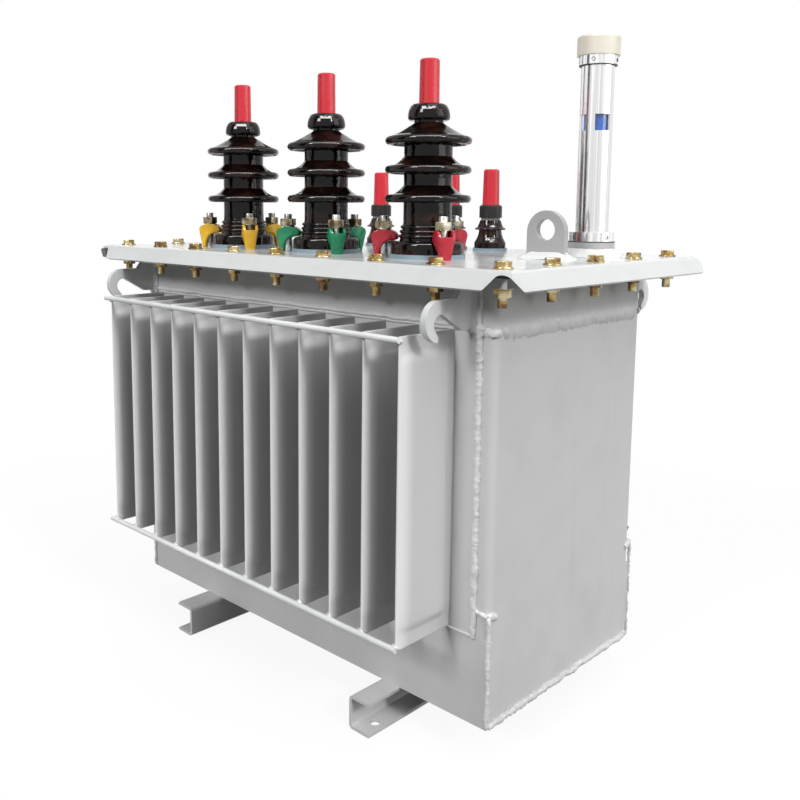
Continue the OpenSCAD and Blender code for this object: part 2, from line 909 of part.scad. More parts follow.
// Half section of the bushing's domed head, flat underneath, standing on y = 0
module hv_head_section() {
  half_d = hv_head_d / 2;
  crown_r = hv_crown_d / 2;
  lip = [
    for (i = [0 : hv_slope_steps])
      let (a = 90 * i / hv_slope_steps)
        [half_d - hv_lip_r + hv_lip_r * sin(a), hv_lip_r - hv_lip_r * cos(a)]
  ];
  dome = [
    for (i = [1 : hv_slope_steps])
      let (a = 90 * i / hv_slope_steps)
        [crown_r + (half_d - crown_r) * cos(a), hv_lip_r + (hv_head_h - hv_lip_r) * sin(a)]
  ];
  polygon(concat([[0, 0]], lip, dome, [[0, hv_head_h]]));
}

module hv_bushing(place) {
  color(porcelain)
    translate([hv_places[place], -hv_y, top_z])
      rotate_extrude()
        hv_section();
}

module hv_bushing_left() {
  hv_bushing(0);
}

module hv_bushing_middle() {
  hv_bushing(1);
}

module hv_bushing_right() {
  hv_bushing(2);
}

module hv_caps() {
  color(cap_red)
    for (x = hv_places)
      translate([x, -hv_y, hv_cap_z])
        coloured_cap(hv_cap_d, hv_cap_top_d, hv_cap_h);
}

// Cap that tapers a little, with a chamfer round its top
module coloured_cap(d, top_d, h) {
  rotate_extrude()
    polygon([
      [0, 0],
      [d / 2, 0],
      [top_d / 2, h - cap_edge],
      [top_d / 2 - cap_edge, h],
      [0, h]
    ]);
}

// A clamp seen from the side, from its nose on the base to its heel on the lid
module clamp_side() {
  nose_r = hv_base_d / 2 - clamp_nose;
  foot_r = hv_base_d / 2 + clamp_heel_gap;
  polygon([
    [nose_r, clamp_seat_z],
    [foot_r, clamp_seat_z],
    [clamp_heel_r - clamp_heel_t / 2, 2 * clamp_arch_share * clamp_top_z],
    [clamp_heel_r, clamp_arch_share * clamp_top_z],
    [clamp_heel_r, 0],
    [clamp_end_r - clamp_slant, 0],
    [clamp_end_r, clamp_top_z - clamp_tip_t],
    [clamp_end_r - clamp_tip_t / 2, clamp_top_z - clamp_slant / 2],
    [nose_r + clamp_tip_t, clamp_top_z],
    [nose_r, clamp_seat_z + clamp_tip_t]
  ]);
}

// A clamp seen end on: narrow foot with chamfered edges, two ears, a channel for the nut between them
module clamp_front() {
  half = [
    [clamp_foot_w / 2 - clamp_slant, 0],
    [clamp_foot_w / 2, clamp_slant],
    [clamp_foot_w / 2, clamp_arch_share * clamp_top_z],
    [clamp_body_w / 2, clamp_body_share * clamp_top_z],
    [clamp_w / 2, clamp_ear_share * clamp_top_z],
    [clamp_w / 2, clamp_top_z],
    [clamp_channel_w / 2, clamp_top_z],
    [clamp_channel_w / 2, clamp_top_z - clamp_channel]
  ];
  polygon(both_flanks(half));
}

// Claw clamp: its nose holds the base down, its heel stands on the lid, a stud goes between them
module clamp() {
  difference() {
    intersection() {
      translate([0, clamp_w / 2, 0])
        rotate([90, 0, 0])
          linear_extrude(clamp_w)
            clamp_side();
      rotate([90, 0, 90])
        linear_extrude(clamp_end_r + over)
          clamp_front();
    }
    translate([clamp_stud_r, 0, -over])
      cylinder(d = clamp_hole_d, h = clamp_top_z + 2 * over);
  }
}

module hv_clamps(place) {
  color(clamp_colours[place])
    translate([hv_places[place], -hv_y, top_z])
      for (i = [0 : clamp_count - 1])
        rotate(clamp_angle + i * 360 / clamp_count)
          clamp();
}

module hv_clamps_left() {
  hv_clamps(0);
}

module hv_clamps_middle() {
  hv_clamps(1);
}

module hv_clamps_right() {
  hv_clamps(2);
}

module lv_gaskets() {
  color(rubber)
    for (x = lv_places)
      translate([x, lv_y, top_z])
        cylinder(d = lv_gasket_d, h = lv_gasket_t);
}

// Half section of a low-voltage bushing with its washer and round nut
module lv_section() {
  waist_z = lv_base_h + lv_skirt_h;
  edge_z = waist_z + lv_edge_h;
  top_shed_z = edge_z + lv_slope_h;
  nut_z = top_shed_z + lv_washer_h;
  rim_x = (lv_shed_d - lv_edge_h) / 2;
  skirt = [
    for (i = [0 : lv_slope_steps])
      let (t = i / lv_slope_steps)
        [(lv_waist_d + pow(1 - t, 2) * (lv_base_d - lv_waist_d)) / 2, lv_base_h + t * lv_skirt_h]
  ];
  slope = [
    for (i = [0 : lv_slope_steps])
      let (t = i / lv_slope_steps)
        [rim_x + t * (lv_top_d / 2 - rim_x), edge_z + pow(t, 2) * lv_slope_h]
  ];
  polygon(concat(
    [[0, 0], [lv_base_d / 2, 0]],
    skirt,
    [[rim_x, waist_z]],
    slope,
    [
      [lv_washer_d / 2, top_shed_z],
      [lv_washer_d / 2, nut_z],
      [lv_nut_d / 2, nut_z],
      [lv_nut_d / 2, nut_z + lv_nut_h - lv_nut_edge],
      [lv_nut_d / 2 - lv_nut_edge, nut_z + lv_nut_h],
      [0, nut_z + lv_nut_h]
    ]
  ));
  translate([rim_x, waist_z + lv_edge_h / 2])
    circle(d = lv_edge_h);
}

module lv_bushing(place) {
  color(porcelain)
    translate([lv_places[place], lv_y, lv_foot_z])
      rotate_extrude()
        lv_section();
}

module lv_bushing_1() {
  lv_bushing(0);
}

module lv_bushing_2() {
  lv_bushing(1);
}

module lv_bushing_3() {
  lv_bushing(2);
}

module lv_bushing_4() {
  lv_bushing(3);
}

module lv_caps() {
  color(cap_red)
    for (x = lv_places)
      translate([x, lv_y, lv_cap_z])
        coloured_cap(lv_cap_d, lv_cap_top_d, lv_cap_h);
}

// Upright ring on the gauge's axis
module gauge_pipe(z, h, d, bore_d) {
  translate([gauge_x, gauge_y, z])
    difference() {
      cylinder(d = d, h = h);
      translate([0, 0, -over])
        cylinder(d = bore_d, h = h + 2 * over);
    }
}

module gauge_neck() {
  color(grey_paint) gauge_pipe(top_z, neck_h, neck_d, tube_bore_d);
}

module gauge_ring() {
  color(polished) gauge_pipe(ring_z, ring_h, ring_d, tube_bore_d);
}

module gauge_tube() {
  color(polished)
    difference() {
      gauge_pipe(tube_z, tube_h, tube_d, tube_bore_d);
      translate([gauge_x, gauge_y, tube_z + window_z])
        for (i = [0 : window_count - 1])
          rotate(window_angle + i * 360 / window_count)
            translate([0, -window_w / 2, 0])
              cube([tube_d, window_w, window_h]);
    }
}

module gauge_sleeve() {
  color("aliceblue") gauge_pipe(sleeve_z, sleeve_h, sleeve_d, sleeve_d - 2 * sleeve_wall);
}

module gauge_float() {
  color("royalblue")
    translate([gauge_x, gauge_y, float_z])
      cylinder(d = float_d, h = float_h);
}

module gauge_collar() {
  color(polished) gauge_pipe(gauge_collar_z, gauge_collar_h, gauge_collar_d, tube_bore_d);
}

module gauge_cap() {
  color("ivory")
    translate([gauge_x, gauge_y, gauge_cap_z])
      rotate_extrude()
        union() {
          square([gauge_cap_d / 2, gauge_cap_h - gauge_cap_r]);
          square([gauge_cap_d / 2 - gauge_cap_r, gauge_cap_h]);
          translate([gauge_cap_d / 2 - gauge_cap_r, gauge_cap_h - gauge_cap_r])
            intersection() {
              circle(r = gauge_cap_r);
              square(gauge_cap_r);
            }
        }
}

left_foot();
right_foot();
tank_floor();
left_end_plate();
right_end_plate();
front_sill();
back_sill();
front_wall();
back_wall();
front_fins();
back_fins();
front_rods();
back_rods();
collar();
rim_flange();
front_left_hook();
front_right_hook();
back_left_hook();
back_right_hook();
lid_gasket();
lid();
left_lug();
right_lug();
hv_gaskets();
hv_bushing_left();
hv_bushing_middle();
hv_bushing_right();
hv_caps();
hv_clamps_left();
hv_clamps_middle();
hv_clamps_right();
lv_gaskets();
lv_bushing_1();
lv_bushing_2();
lv_bushing_3();
lv_bushing_4();
lv_caps();
gauge_neck();
gauge_ring();
gauge_tube();
gauge_sleeve();
gauge_float();
gauge_collar();
gauge_cap();
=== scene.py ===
import json
import math

import bmesh
import bpy
from mathutils import Matrix, Vector


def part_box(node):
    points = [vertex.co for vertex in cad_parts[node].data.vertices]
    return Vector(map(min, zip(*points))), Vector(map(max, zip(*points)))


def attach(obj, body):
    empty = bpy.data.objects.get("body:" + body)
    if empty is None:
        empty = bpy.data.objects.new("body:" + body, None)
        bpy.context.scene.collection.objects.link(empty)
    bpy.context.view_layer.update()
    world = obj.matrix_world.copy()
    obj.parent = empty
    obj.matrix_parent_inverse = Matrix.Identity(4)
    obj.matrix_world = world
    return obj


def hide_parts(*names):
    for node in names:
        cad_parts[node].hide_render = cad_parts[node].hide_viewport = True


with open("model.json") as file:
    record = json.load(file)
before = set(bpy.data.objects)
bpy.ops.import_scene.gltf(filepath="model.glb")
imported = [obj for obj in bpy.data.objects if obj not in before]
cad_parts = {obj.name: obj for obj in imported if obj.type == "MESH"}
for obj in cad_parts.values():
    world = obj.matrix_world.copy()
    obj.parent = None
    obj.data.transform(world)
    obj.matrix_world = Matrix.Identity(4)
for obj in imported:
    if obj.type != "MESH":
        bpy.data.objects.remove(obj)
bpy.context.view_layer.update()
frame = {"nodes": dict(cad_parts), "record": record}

# Camera, solved from the photograph: place in metres, angles in degrees, pixels of an 800 px frame
CAMERA_PLACE = Vector((1.0205, -1.0800, 0.7279))
CAMERA_AZIMUTH = 44.18
CAMERA_ELEVATION = 7.378
CAMERA_ROLL = 0.403
FRAME_PX = 800
FOCAL_PX = 889.24
AXIS_PX = (361.0, 322.1)
SENSOR_MM = 36.0

# Levels and places that the pieces share, in metres
LID_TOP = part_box("lid")[1].z
RIM_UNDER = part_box("rim_flange")[0].z
COLLAR_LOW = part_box("collar")[0].z
WALL_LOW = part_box("front_wall")[0].z
FLOOR_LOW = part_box("tank_floor")[0].z
HALF_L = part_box("tank_floor")[1].x
HALF_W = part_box("tank_floor")[1].y
WRAP_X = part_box("front_wall")[1].x
FIN_LOW, FIN_HIGH = (corner.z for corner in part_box("front_fins"))
NOSE_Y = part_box("back_fins")[1].y
FIN_COUNT = 12
FIN_PITCH = 0.060
FIN_FIRST_X = -0.342
ROD_R = (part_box("front_rods")[1].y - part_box("front_rods")[0].y) / 2
BOLT_X = 0.411
BOLT_Y = 0.213
BOLTS_LONG = 9
BOLTS_SHORT = 5
HV_PLACES = (-0.207, 0.0, 0.207)
HV_Y = -0.110
CLAMP_ANGLES = (-30, 90, 210)
CLAMP_STUD_R = 0.063
CLAMP_SEAT = LID_TOP + 0.040
# Height at which the bend of the end plates stops, and its radius
SPUR_Z = 0.205
BEND_R = 0.009
GAUGE_PLACE = Vector((0.333, 0.123, 0.0))
# Turn of the gauge's first window in degrees, half its angle, its foot over the tube's and its height
WINDOW_TURN = -36.0
WINDOW_HALF = 27.2
WINDOW_LOW = 0.148
WINDOW_H = 0.0235
# Angles of the dark flags round the gauge, in degrees, and their widths; then their distance, middle and height
FLAGS = ((149, 0.50), (-168, 0.40), (-124, 0.75))
FLAG_AWAY = 2.6
FLAG_MIDDLE = 2.0
FLAG_H = 3.9
# Levels of the world's light, of the light that the floor gives back and of the floor where it is seen,
# and the share of plain white in it there
WORLD_LEVEL = 0.04
FLOOR_BOUNCE = 0.10
FLOOR_PALE = 0.95
FLOOR_WHITE = 0.90
# Lamps: name, direction towards the lamp, level, spread in degrees
LAMPS = (
    ("ceiling_light", (0.55, -0.10, 1.0), 0.44, 50),
    ("front_light", (-0.06, -0.86, 0.50), 0.62, 16),
    ("right_light", (0.828, -0.110, 0.547), 0.36, 9),
    ("right_fill", (0.92, 0.30, 0.25), 0.34, 40),
    ("back_light", (-0.50, 0.75, 0.43), 0.45, 70),
)
# Beads thicker than this are broad and flat; spread of the fillets on the lid; lengths that beads are cut into
BROAD_BEAD = 0.010
LID_FILLET = 0.013
BEAD_STEPS = (0.03, 0.0018)
# Thickness of the block that a fin is pressed from, and its height
FIN_T = 0.014
FIN_H = FIN_HIGH - FIN_LOW
# Columns of a fin: place, half thickness, half thickness and place where the nose is pinched, half thickness at a seam
FIN_COLUMNS = (
    (-0.0030, 0.0036, 0.0036, -0.0030, 0.0020),
    (0.0105, 0.0034, 0.0034, 0.0105, 0.0020),
    (0.0145, 0.0040, 0.0040, 0.0145, 0.0020),
    (0.0180, 0.0070, 0.0070, 0.0180, 0.0020),
    (0.0220, 0.0070, 0.0070, 0.0220, 0.0020),
    (0.0570, 0.0071, 0.0069, 0.0620, 0.0020),
    (0.0810, 0.0068, 0.0046, 0.0950, 0.0020),
    (0.0930, 0.0057, 0.0026, 0.1015, 0.0020),
    (0.1010, 0.0037, 0.0018, 0.1036, 0.0020),
    (0.1046, 0.0014, 0.0008, 0.1046, 0.0012),
)
# Rows of a fin: height, how far it is swollen, how far its nose is open
FIN_ROWS = (
    (0.0000, 0.0, 0.0), (0.0015, 0.0, 0.0), (0.0175, 0.0, 0.0), (0.0195, 0.12, 0.0),
    (0.0285, 0.96, 0.0), (0.0340, 1.0, 0.25), (0.0600, 1.0, 0.90), (0.1600, 1.0, 1.0),
    (0.2300, 1.0, 0.96), (0.2900, 1.0, 0.64), (0.3350, 1.0, 0.30), (0.3620, 1.0, 0.08),
    (0.3705, 0.96, 0.0), (0.3795, 0.12, 0.0), (0.3815, 0.0, 0.0), (0.3985, 0.0, 0.0), (0.4000, 0.0, 0.0),
)
# Outline of a clamp seen from the side: distance from the bushing's axis, height over the lid, half width there
CLAMP_SIDE = (
    (0.0693, 0.0000, 0.0088), (0.0740, 0.0000, 0.0082), (0.0760, 0.0090, 0.0092), (0.0780, 0.0190, 0.0102),
    (0.0795, 0.0295, 0.0120), (0.0785, 0.0335, 0.0126), (0.0740, 0.0375, 0.0132), (0.0680, 0.0397, 0.0135),
    (0.0600, 0.0400, 0.0132), (0.0520, 0.0390, 0.0115), (0.0460, 0.0365, 0.0092), (0.0423, 0.0330, 0.0075),
    (0.0415, 0.0295, 0.0070), (0.0425, 0.0258, 0.0072), (0.0470, 0.0244, 0.0090), (0.0515, 0.0241, 0.0105),
    (0.0570, 0.0225, 0.0115), (0.0620, 0.0185, 0.0115), (0.0665, 0.0120, 0.0105), (0.0688, 0.0050, 0.0094),
)
CLAMP_HALF_W = 0.0135
# Block that cuts the top of a clamp out for its stud
STUD_SLOT_PLACE = (0.0725, 0, 0.0410)
STUD_SLOT_SIZE = (0.0400, 0.0168, 0.0190)
# Wall of the gauge's tube, and the place of the earthing screw
TUBE_WALL = 0.003
EARTH_STUD_PLACE = (0.3750, HALF_W - 0.0006, 0.2245)
# Heights from which a low-voltage bushing is washer and nut
LV_WASHER_Z = LID_TOP + 0.0505
LV_NUT_Z = LID_TOP + 0.0545
# How far behind a fin's nose the painted highlight on it starts and is full; how far under the fins' top the painted
# shade between them is full and ends
NOSE_HIGHLIGHT_FADE = (0.026, 0.006)
GAP_SHADE_FADE = (0.12, 0.03)
# Angles in degrees under which neighbouring faces shade as one
SMOOTH_WELD = 80
SMOOTH_FIN = 60
SMOOTH_CAST = 35
SMOOTH_CUT = 30
# Tones of the paints, and the dark, middle and pale tones of the plated steels
DIRT = (0.30, 0.29, 0.27, 1)
TANK_GREY = (0.55, 0.555, 0.55, 1)
TANK_THIN = (0.51, 0.515, 0.51, 1)
WELD_TONE = (0.64, 0.645, 0.64, 1)
LID_WHITE = (0.65, 0.67, 0.665, 1)
LID_THIN = (0.60, 0.62, 0.615, 1)
ROD_WHITE = (0.84, 0.85, 0.85, 1)
HOOK_WHITE = (0.70, 0.71, 0.71, 1)
# Painted shade for the flanks between the fins, and a painted highlight for their noses
FIN_GAP_SHADE_GREY = (0.44, 0.445, 0.44, 1)
NOSE_HIGHLIGHT_GREY = (0.74, 0.745, 0.74, 1)
# A darker copy of the tank's grey: painted shade on the lugs, also used on the gauge's neck
LUG_SHADE_GREY = (0.40, 0.405, 0.40, 1)
LUG_SHADE_THIN = (0.36, 0.365, 0.36, 1)
YELLOW_ZINC_TONES = ((0.17, 0.09, 0.04, 1), (0.38, 0.27, 0.10, 1), (0.60, 0.53, 0.34, 1))
NUT_ZINC_TONES = ((0.13, 0.09, 0.05, 1), (0.30, 0.25, 0.15, 1), (0.52, 0.50, 0.41, 1))
BRIGHT_ZINC_TONES = ((0.20, 0.19, 0.17, 1), (0.42, 0.42, 0.40, 1), (0.66, 0.66, 0.65, 1))
BLACK_STEEL_TONES = ((0.03, 0.03, 0.03, 1), (0.06, 0.06, 0.06, 1), (0.12, 0.12, 0.12, 1))


# Camera, floor and lights

def add_camera():
    azimuth = math.radians(CAMERA_AZIMUTH)
    elevation = math.radians(CAMERA_ELEVATION)
    back = Vector((
        math.sin(azimuth) * math.cos(elevation),
        -math.cos(azimuth) * math.cos(elevation),
        math.sin(elevation),
    ))
    level_right = Vector((math.cos(azimuth), math.sin(azimuth), 0.0))
    level_up = back.cross(level_right)
    roll = math.radians(CAMERA_ROLL)
    right = math.cos(roll) * level_right + math.sin(roll) * level_up
    up = math.cos(roll) * level_up - math.sin(roll) * level_right
    data = bpy.data.cameras.new("photo_camera")
    data.sensor_width = SENSOR_MM
    data.lens = FOCAL_PX * SENSOR_MM / FRAME_PX
    data.shift_x = (FRAME_PX / 2 - AXIS_PX[0]) / FRAME_PX
    data.shift_y = (AXIS_PX[1] - FRAME_PX / 2) / FRAME_PX
    camera = bpy.data.objects.new("photo_camera", data)
    bpy.context.scene.collection.objects.link(camera)
    turn = Matrix((right, up, back)).transposed().to_4x4()
    camera.matrix_world = Matrix.Translation(CAMERA_PLACE) @ turn
    bpy.context.scene.camera = camera


def node(tree, kind, inputs=None, **settings):
    """Adds a shader node, sets its options, and sets or links its inputs"""
    made = tree.nodes.new(kind)
    for key, value in settings.items():
        setattr(made, key, value)
    for key, value in (inputs or {}).items():
        if isinstance(value, bpy.types.NodeSocket):
            tree.links.new(value, made.inputs[key])
        else:
            made.inputs[key].default_value = value
    return made


def math_node(tree, operation, first, second):
    return node(tree, "ShaderNodeMath", {0: first, 1: second}, operation=operation).outputs[0]


def seen_directly(tree):
    """1 for rays from the camera, a mirror or glass, else 0"""
    path = node(tree, "ShaderNodeLightPath")
    either = math_node(tree, "MAXIMUM", path.outputs["Is Camera Ray"], path.outputs["Is Glossy Ray"])
    return math_node(tree, "MAXIMUM", either, path.outputs["Is Transmission Ray"])


def add_floor():
    deselect()
    bpy.ops.mesh.primitive_plane_add(size=40.0, location=(0.0, 0.0, 0.0))
    floor = bpy.context.object
    floor.name = "studio_floor"
    material = bpy.data.materials.new("studio_floor")
    material.use_nodes = True
    tree = material.node_tree
    tree.nodes.clear()
    seen = seen_directly(tree)
    grey = node(tree, "ShaderNodeMapRange", {"Value": seen, "To Min": FLOOR_BOUNCE, "To Max": FLOOR_PALE}).outputs[0]
    matt = node(tree, "ShaderNodeBsdfDiffuse", {"Color": grey})
    white = node(tree, "ShaderNodeEmission", {"Color": (1, 1, 1, 1), "Strength": 1.0})
    share = math_node(tree, "MULTIPLY", seen, FLOOR_WHITE)
    mix = node(tree, "ShaderNodeMixShader", {0: share, 1: matt.outputs[0], 2: white.outputs[0]})
    node(tree, "ShaderNodeOutputMaterial", {"Surface": mix.outputs[0]})
    floor.data.materials.append(material)


def add_world():
    world = bpy.data.worlds.new("studio")
    bpy.context.scene.world = world
    world.use_nodes = True
    tree = world.node_tree
    tree.nodes.clear()
    seen = seen_directly(tree)
    strength = node(tree, "ShaderNodeMapRange", {"Value": seen, "To Min": WORLD_LEVEL, "To Max": 1.0})
    back = node(tree, "ShaderNodeBackground", {"Color": (1, 1, 1, 1), "Strength": strength.outputs[0]})
    node(tree, "ShaderNodeOutputWorld", {"Surface": back.outputs[0]})


def add_sun(name, towards, level, spread):
    """Far, soft lamp; level 1 lights a white face that looks straight at it up to white"""
    data = bpy.data.lights.new(name, "SUN")
    data.energy = level * math.pi
    data.angle = math.radians(spread)
    lamp = bpy.data.objects.new(name, data)
    bpy.context.scene.collection.objects.link(lamp)
    lamp.matrix_world = (-Vector(towards)).to_track_quat("-Z", "Y").to_matrix().to_4x4()


def add_strip(name, place, along, length, width, radiance):
    """Long narrow lamp that only shows as a streak on glossy pieces"""
    place, along = Vector(place), Vector(along).normalized()
    back = place - Vector((0.0, 0.0, LID_TOP))
    back = (back - along * back.dot(along)).normalized()
    data = bpy.data.lights.new(name, "AREA")
    data.shape = "RECTANGLE"
    data.size = length
    data.size_y = width
    data.energy = radiance * math.pi * length * width
    lamp = bpy.data.objects.new(name, data)
    bpy.context.scene.collection.objects.link(lamp)
    turn = Matrix((along, back.cross(along), back)).transposed().to_4x4()
    lamp.matrix_world = Matrix.Translation(place) @ turn
    lamp.visible_diffuse = False


def add_flags():
    """Dark boards round the studio, seen only in reflections: dark lines in the gauge's polished tube"""
    dark = bpy.data.materials.new("studio_flag")
    dark.use_nodes = True
    shader = dark.node_tree.nodes["Principled BSDF"]
    shader.inputs["Base Color"].default_value = (0.02, 0.02, 0.02, 1)
    shader.inputs["Roughness"].default_value = 0.9
    for index, (angle, width) in enumerate(FLAGS):
        turn = math.radians(angle)
        deselect()
        place = Vector((FLAG_AWAY * math.cos(turn), FLAG_AWAY * math.sin(turn), FLAG_MIDDLE))
        bpy.ops.mesh.primitive_cube_add(size=1.0, rotation=(0, 0, turn), location=GAUGE_PLACE + place)
        flag = bpy.context.object
        flag.name = f"studio_flag_{index + 1}"
        flag.scale = (0.02, width, FLAG_H)
        settle()
        flag.data.materials.append(dark)
        flag.visible_camera = False
        flag.visible_diffuse = False
        flag.visible_shadow = False


# Modelling helpers

def deselect():
    bpy.ops.object.select_all(action="DESELECT")


def choose(piece):
    """Makes the piece active and the only one selected"""
    deselect()
    piece.select_set(True)
    bpy.context.view_layer.objects.active = piece


def edit(piece):
    choose(piece)
    bpy.ops.object.mode_set(mode="EDIT")


def leave_edit():
    bpy.ops.object.mode_set(mode="OBJECT")


def pick(piece, kind, test):
    """Selects the faces, edges or corners of the piece in edit mode that pass the test"""
    bpy.ops.mesh.select_mode(type=kind)
    bpy.ops.mesh.select_all(action="DESELECT")
    mesh = bmesh.from_edit_mesh(piece.data)
    for item in {"FACE": mesh.faces, "EDGE": mesh.edges, "VERT": mesh.verts}[kind]:
        if test(item):
            item.select_set(True)
    bmesh.update_edit_mesh(piece.data)


def settle():
    """Puts the active piece's place, turn and size into its mesh"""
    bpy.ops.object.transform_apply(location=True, rotation=True, scale=True)


def join(name, pieces):
    """Joins the pieces into the first one, under a new name"""
    deselect()
    for piece in pieces:
        piece.select_set(True)
    bpy.context.view_layer.objects.active = pieces[0]
    bpy.ops.object.join()
    pieces[0].name = name
    return pieces[0]


def finish_piece(piece, material, smooth_angle):
    """Paints and shades a finished piece and fixes it to the body"""
    piece.data.materials.clear()
    piece.data.materials.append(material)
    choose(piece)
    bpy.ops.object.shade_smooth_by_angle(angle=math.radians(smooth_angle))
    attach(piece, "root")


def copy_of(piece, name, move):
    """Copy with a mesh of its own, moved in the mesh"""
    twin = piece.copy()
    twin.data = piece.data.copy()
    twin.name = name
    twin.data.transform(move)
    if move.determinant() < 0:
        twin.data.flip_normals()
    bpy.context.scene.collection.objects.link(twin)
    return twin


def turned_disc(radius, low, height, edge, sides=28):
    """Round disc or shank on the upright axis, its two rims bevelled"""
    deselect()
    bpy.ops.mesh.primitive_cylinder_add(vertices=sides, radius=radius, depth=height,
                                        location=(0, 0, low + height / 2))
    disc = bpy.context.object
    settle()
    edit(disc)
    pick(disc, "EDGE", lambda e: abs(e.verts[0].co.z - e.verts[1].co.z) < height / 2)
    bpy.ops.mesh.bevel(offset=edge, segments=2, affect="EDGES")
    leave_edit()
    return disc


def hex_block(corner_r, low, height, turn=0.0):
    """Hexagon for a bolt's head or a nut, with the chamfer of its corners"""
    deselect()
    bpy.ops.mesh.primitive_cylinder_add(vertices=6, radius=corner_r, depth=height,
                                        location=(0, 0, low + height / 2), rotation=(0, 0, turn))
    block = bpy.context.object
    settle()
    edit(block)
    pick(block, "VERT", lambda v: True)
    bpy.ops.mesh.bevel(offset=corner_r * 0.16, segments=2, affect="VERTICES")
    pick(block, "EDGE", lambda e: True)
    bpy.ops.mesh.bevel(offset=corner_r * 0.045, segments=2, affect="EDGES")
    leave_edit()
    return block


def cloud_texture(name, scale, colour):
    texture = bpy.data.textures.new(name, "CLOUDS")
    texture.noise_scale = scale
    texture.noise_depth = 2
    texture.cloud_type = "COLOR" if colour else "GRAYSCALE"
    return texture


def displace(piece, texture, strength, direction="NORMAL"):
    choose(piece)
    wave = piece.modifiers.new("weld_shape", "DISPLACE")
    wave.texture = texture
    wave.texture_coords = "LOCAL"
    wave.direction = direction
    wave.mid_level = 0.5
    wave.strength = strength
    bpy.ops.object.modifier_apply(modifier=wave.name)


def lay_by_hand(piece, wobble, ripple):
    """Lets a bead wander and ripple"""
    displace(piece, WANDER, wobble, "RGB_TO_XYZ")
    displace(piece, RIPPLE, ripple)


def weld_run(name, start, end, radius, wobble, ripple):
    """A hand-laid bead between two points: a round bar cut into rings, wandering and rippled"""
    start, end = Vector(start), Vector(end)
    span = end - start
    along = span.normalized()
    deselect()
    bpy.ops.mesh.primitive_cylinder_add(vertices=20 if radius > BROAD_BEAD else 10, radius=radius,
                                        depth=span.length, location=(start + end) / 2,
                                        rotation=span.to_track_quat("Z", "Y").to_euler())
    bead = bpy.context.object
    bead.name = name
    settle()
    edit(bead)
    pick(bead, "EDGE", lambda e: abs((e.verts[0].co - e.verts[1].co).normalized().dot(along)) < 0.5)
    bpy.ops.mesh.bevel(offset=radius * 0.7, segments=3, affect="EDGES")
    for length in BEAD_STEPS:
        cuts = min(99, int(longest_edge(bead, along) / length))
        if cuts > 0:
            pick(bead, "EDGE", lambda e: is_long(e, along, length))
            bpy.ops.mesh.subdivide(number_cuts=cuts)
    leave_edit()
    lay_by_hand(bead, wobble, ripple)
    return bead


def weld_round(name, middle, path, radius, towards):
    """A bead laid round a bent corner: a disc swept about the bend's upright axis"""
    half_sweep = math.radians(50)
    first = towards - half_sweep
    out = Vector((math.cos(first), math.sin(first), 0))
    ahead = Vector((-math.sin(first), math.cos(first), 0))
    deselect()
    bpy.ops.mesh.primitive_circle_add(vertices=16, radius=radius, fill_type="NGON",
                                      location=Vector(middle) + path * out,
                                      rotation=ahead.to_track_quat("Z", "Y").to_euler())
    bead = bpy.context.object
    bead.name = name
    settle()
    edit(bead)
    bpy.ops.mesh.select_all(action="SELECT")
    bpy.ops.mesh.spin(steps=12, angle=-2 * half_sweep, center=middle, axis=(0, 0, 1))
    bpy.ops.mesh.select_all(action="SELECT")
    bpy.ops.mesh.remove_doubles(threshold=1e-5)
    bpy.ops.mesh.normals_make_consistent(inside=False)
    leave_edit()
    lay_by_hand(bead, 0.004, 0.003)
    return bead


def is_long(edge, along, length):
    """Whether the edge runs along the bead and is longer than length"""
    run = edge.verts[0].co - edge.verts[1].co
    return run.length > length and abs(run.normalized().dot(along)) > 0.9


def longest_edge(piece, along):
    mesh = bmesh.from_edit_mesh(piece.data)
    return max(abs((e.verts[0].co - e.verts[1].co).dot(along)) for e in mesh.edges)


def weld_skirt(name, low, high, spread, rise, axis):
    """A fillet round the foot of a plate: a block whose far end is drawn in, rounded and rippled.
    The foot lies between the corners low and high; the fillet spreads out by spread and rises along axis."""
    low, high, axis = Vector(low), Vector(high), Vector(axis)
    flat = Vector((1 - abs(axis.x), 1 - abs(axis.y), 1 - abs(axis.z)))
    middle = (low + high) / 2
    foot = high - low + 2 * spread * flat
    place = middle + axis * rise / 2
    deselect()
    bpy.ops.mesh.primitive_cube_add(size=1.0, location=place)
    skirt = bpy.context.object
    skirt.name = name
    skirt.scale = [max(size, rise * abs(part)) for size, part in zip(foot, axis)]
    settle()
    edit(skirt)
    pick(skirt, "FACE", lambda f: f.normal.dot(axis) > 0.9)
    shrink = [(high - low)[i] / foot[i] if flat[i] else 1.0 for i in range(3)]
    bpy.ops.transform.resize(value=shrink)
    pick(skirt, "EDGE", lambda e: abs((e.verts[0].co - e.verts[1].co).normalized().dot(axis)) > 0.3)
    bpy.ops.mesh.bevel(offset=spread * 0.6, segments=3, affect="EDGES")
    bpy.ops.mesh.select_all(action="SELECT")
    bpy.ops.mesh.subdivide(number_cuts=6)
    leave_edit()
    lay_by_hand(skirt, spread * 0.2, spread * 0.12)
    return skirt


# Shader groups and materials

def new_group(name, inputs, outputs):
    """Empty shader group; inputs and outputs are (name, kind) pairs"""
    tree = bpy.data.node_groups.new(name, "ShaderNodeTree")
    for socket, kind in inputs:
        tree.interface.new_socket(socket, in_out="INPUT", socket_type="NodeSocket" + kind)
    for socket, kind in outputs:
        tree.interface.new_socket(socket, in_out="OUTPUT", socket_type="NodeSocket" + kind)
    return tree, tree.nodes.new("NodeGroupInput").outputs, tree.nodes.new("NodeGroupOutput").inputs


def mixed(tree, share, first, second):
    """Colour mixed from two by share"""
    return node(tree, "ShaderNodeMix", {0: share, 6: first, 7: second}, data_type="RGBA").outputs[2]


def ramp(tree, value, low, high, to_low=0.0, to_high=1.0):
    """Value eased from to_low at low to to_high at high"""
    return node(tree, "ShaderNodeMapRange", {
        "Value": value, "From Min": low, "From Max": high, "To Min": to_low, "To Max": to_high,
    }, interpolation_type="SMOOTHSTEP").outputs[0]


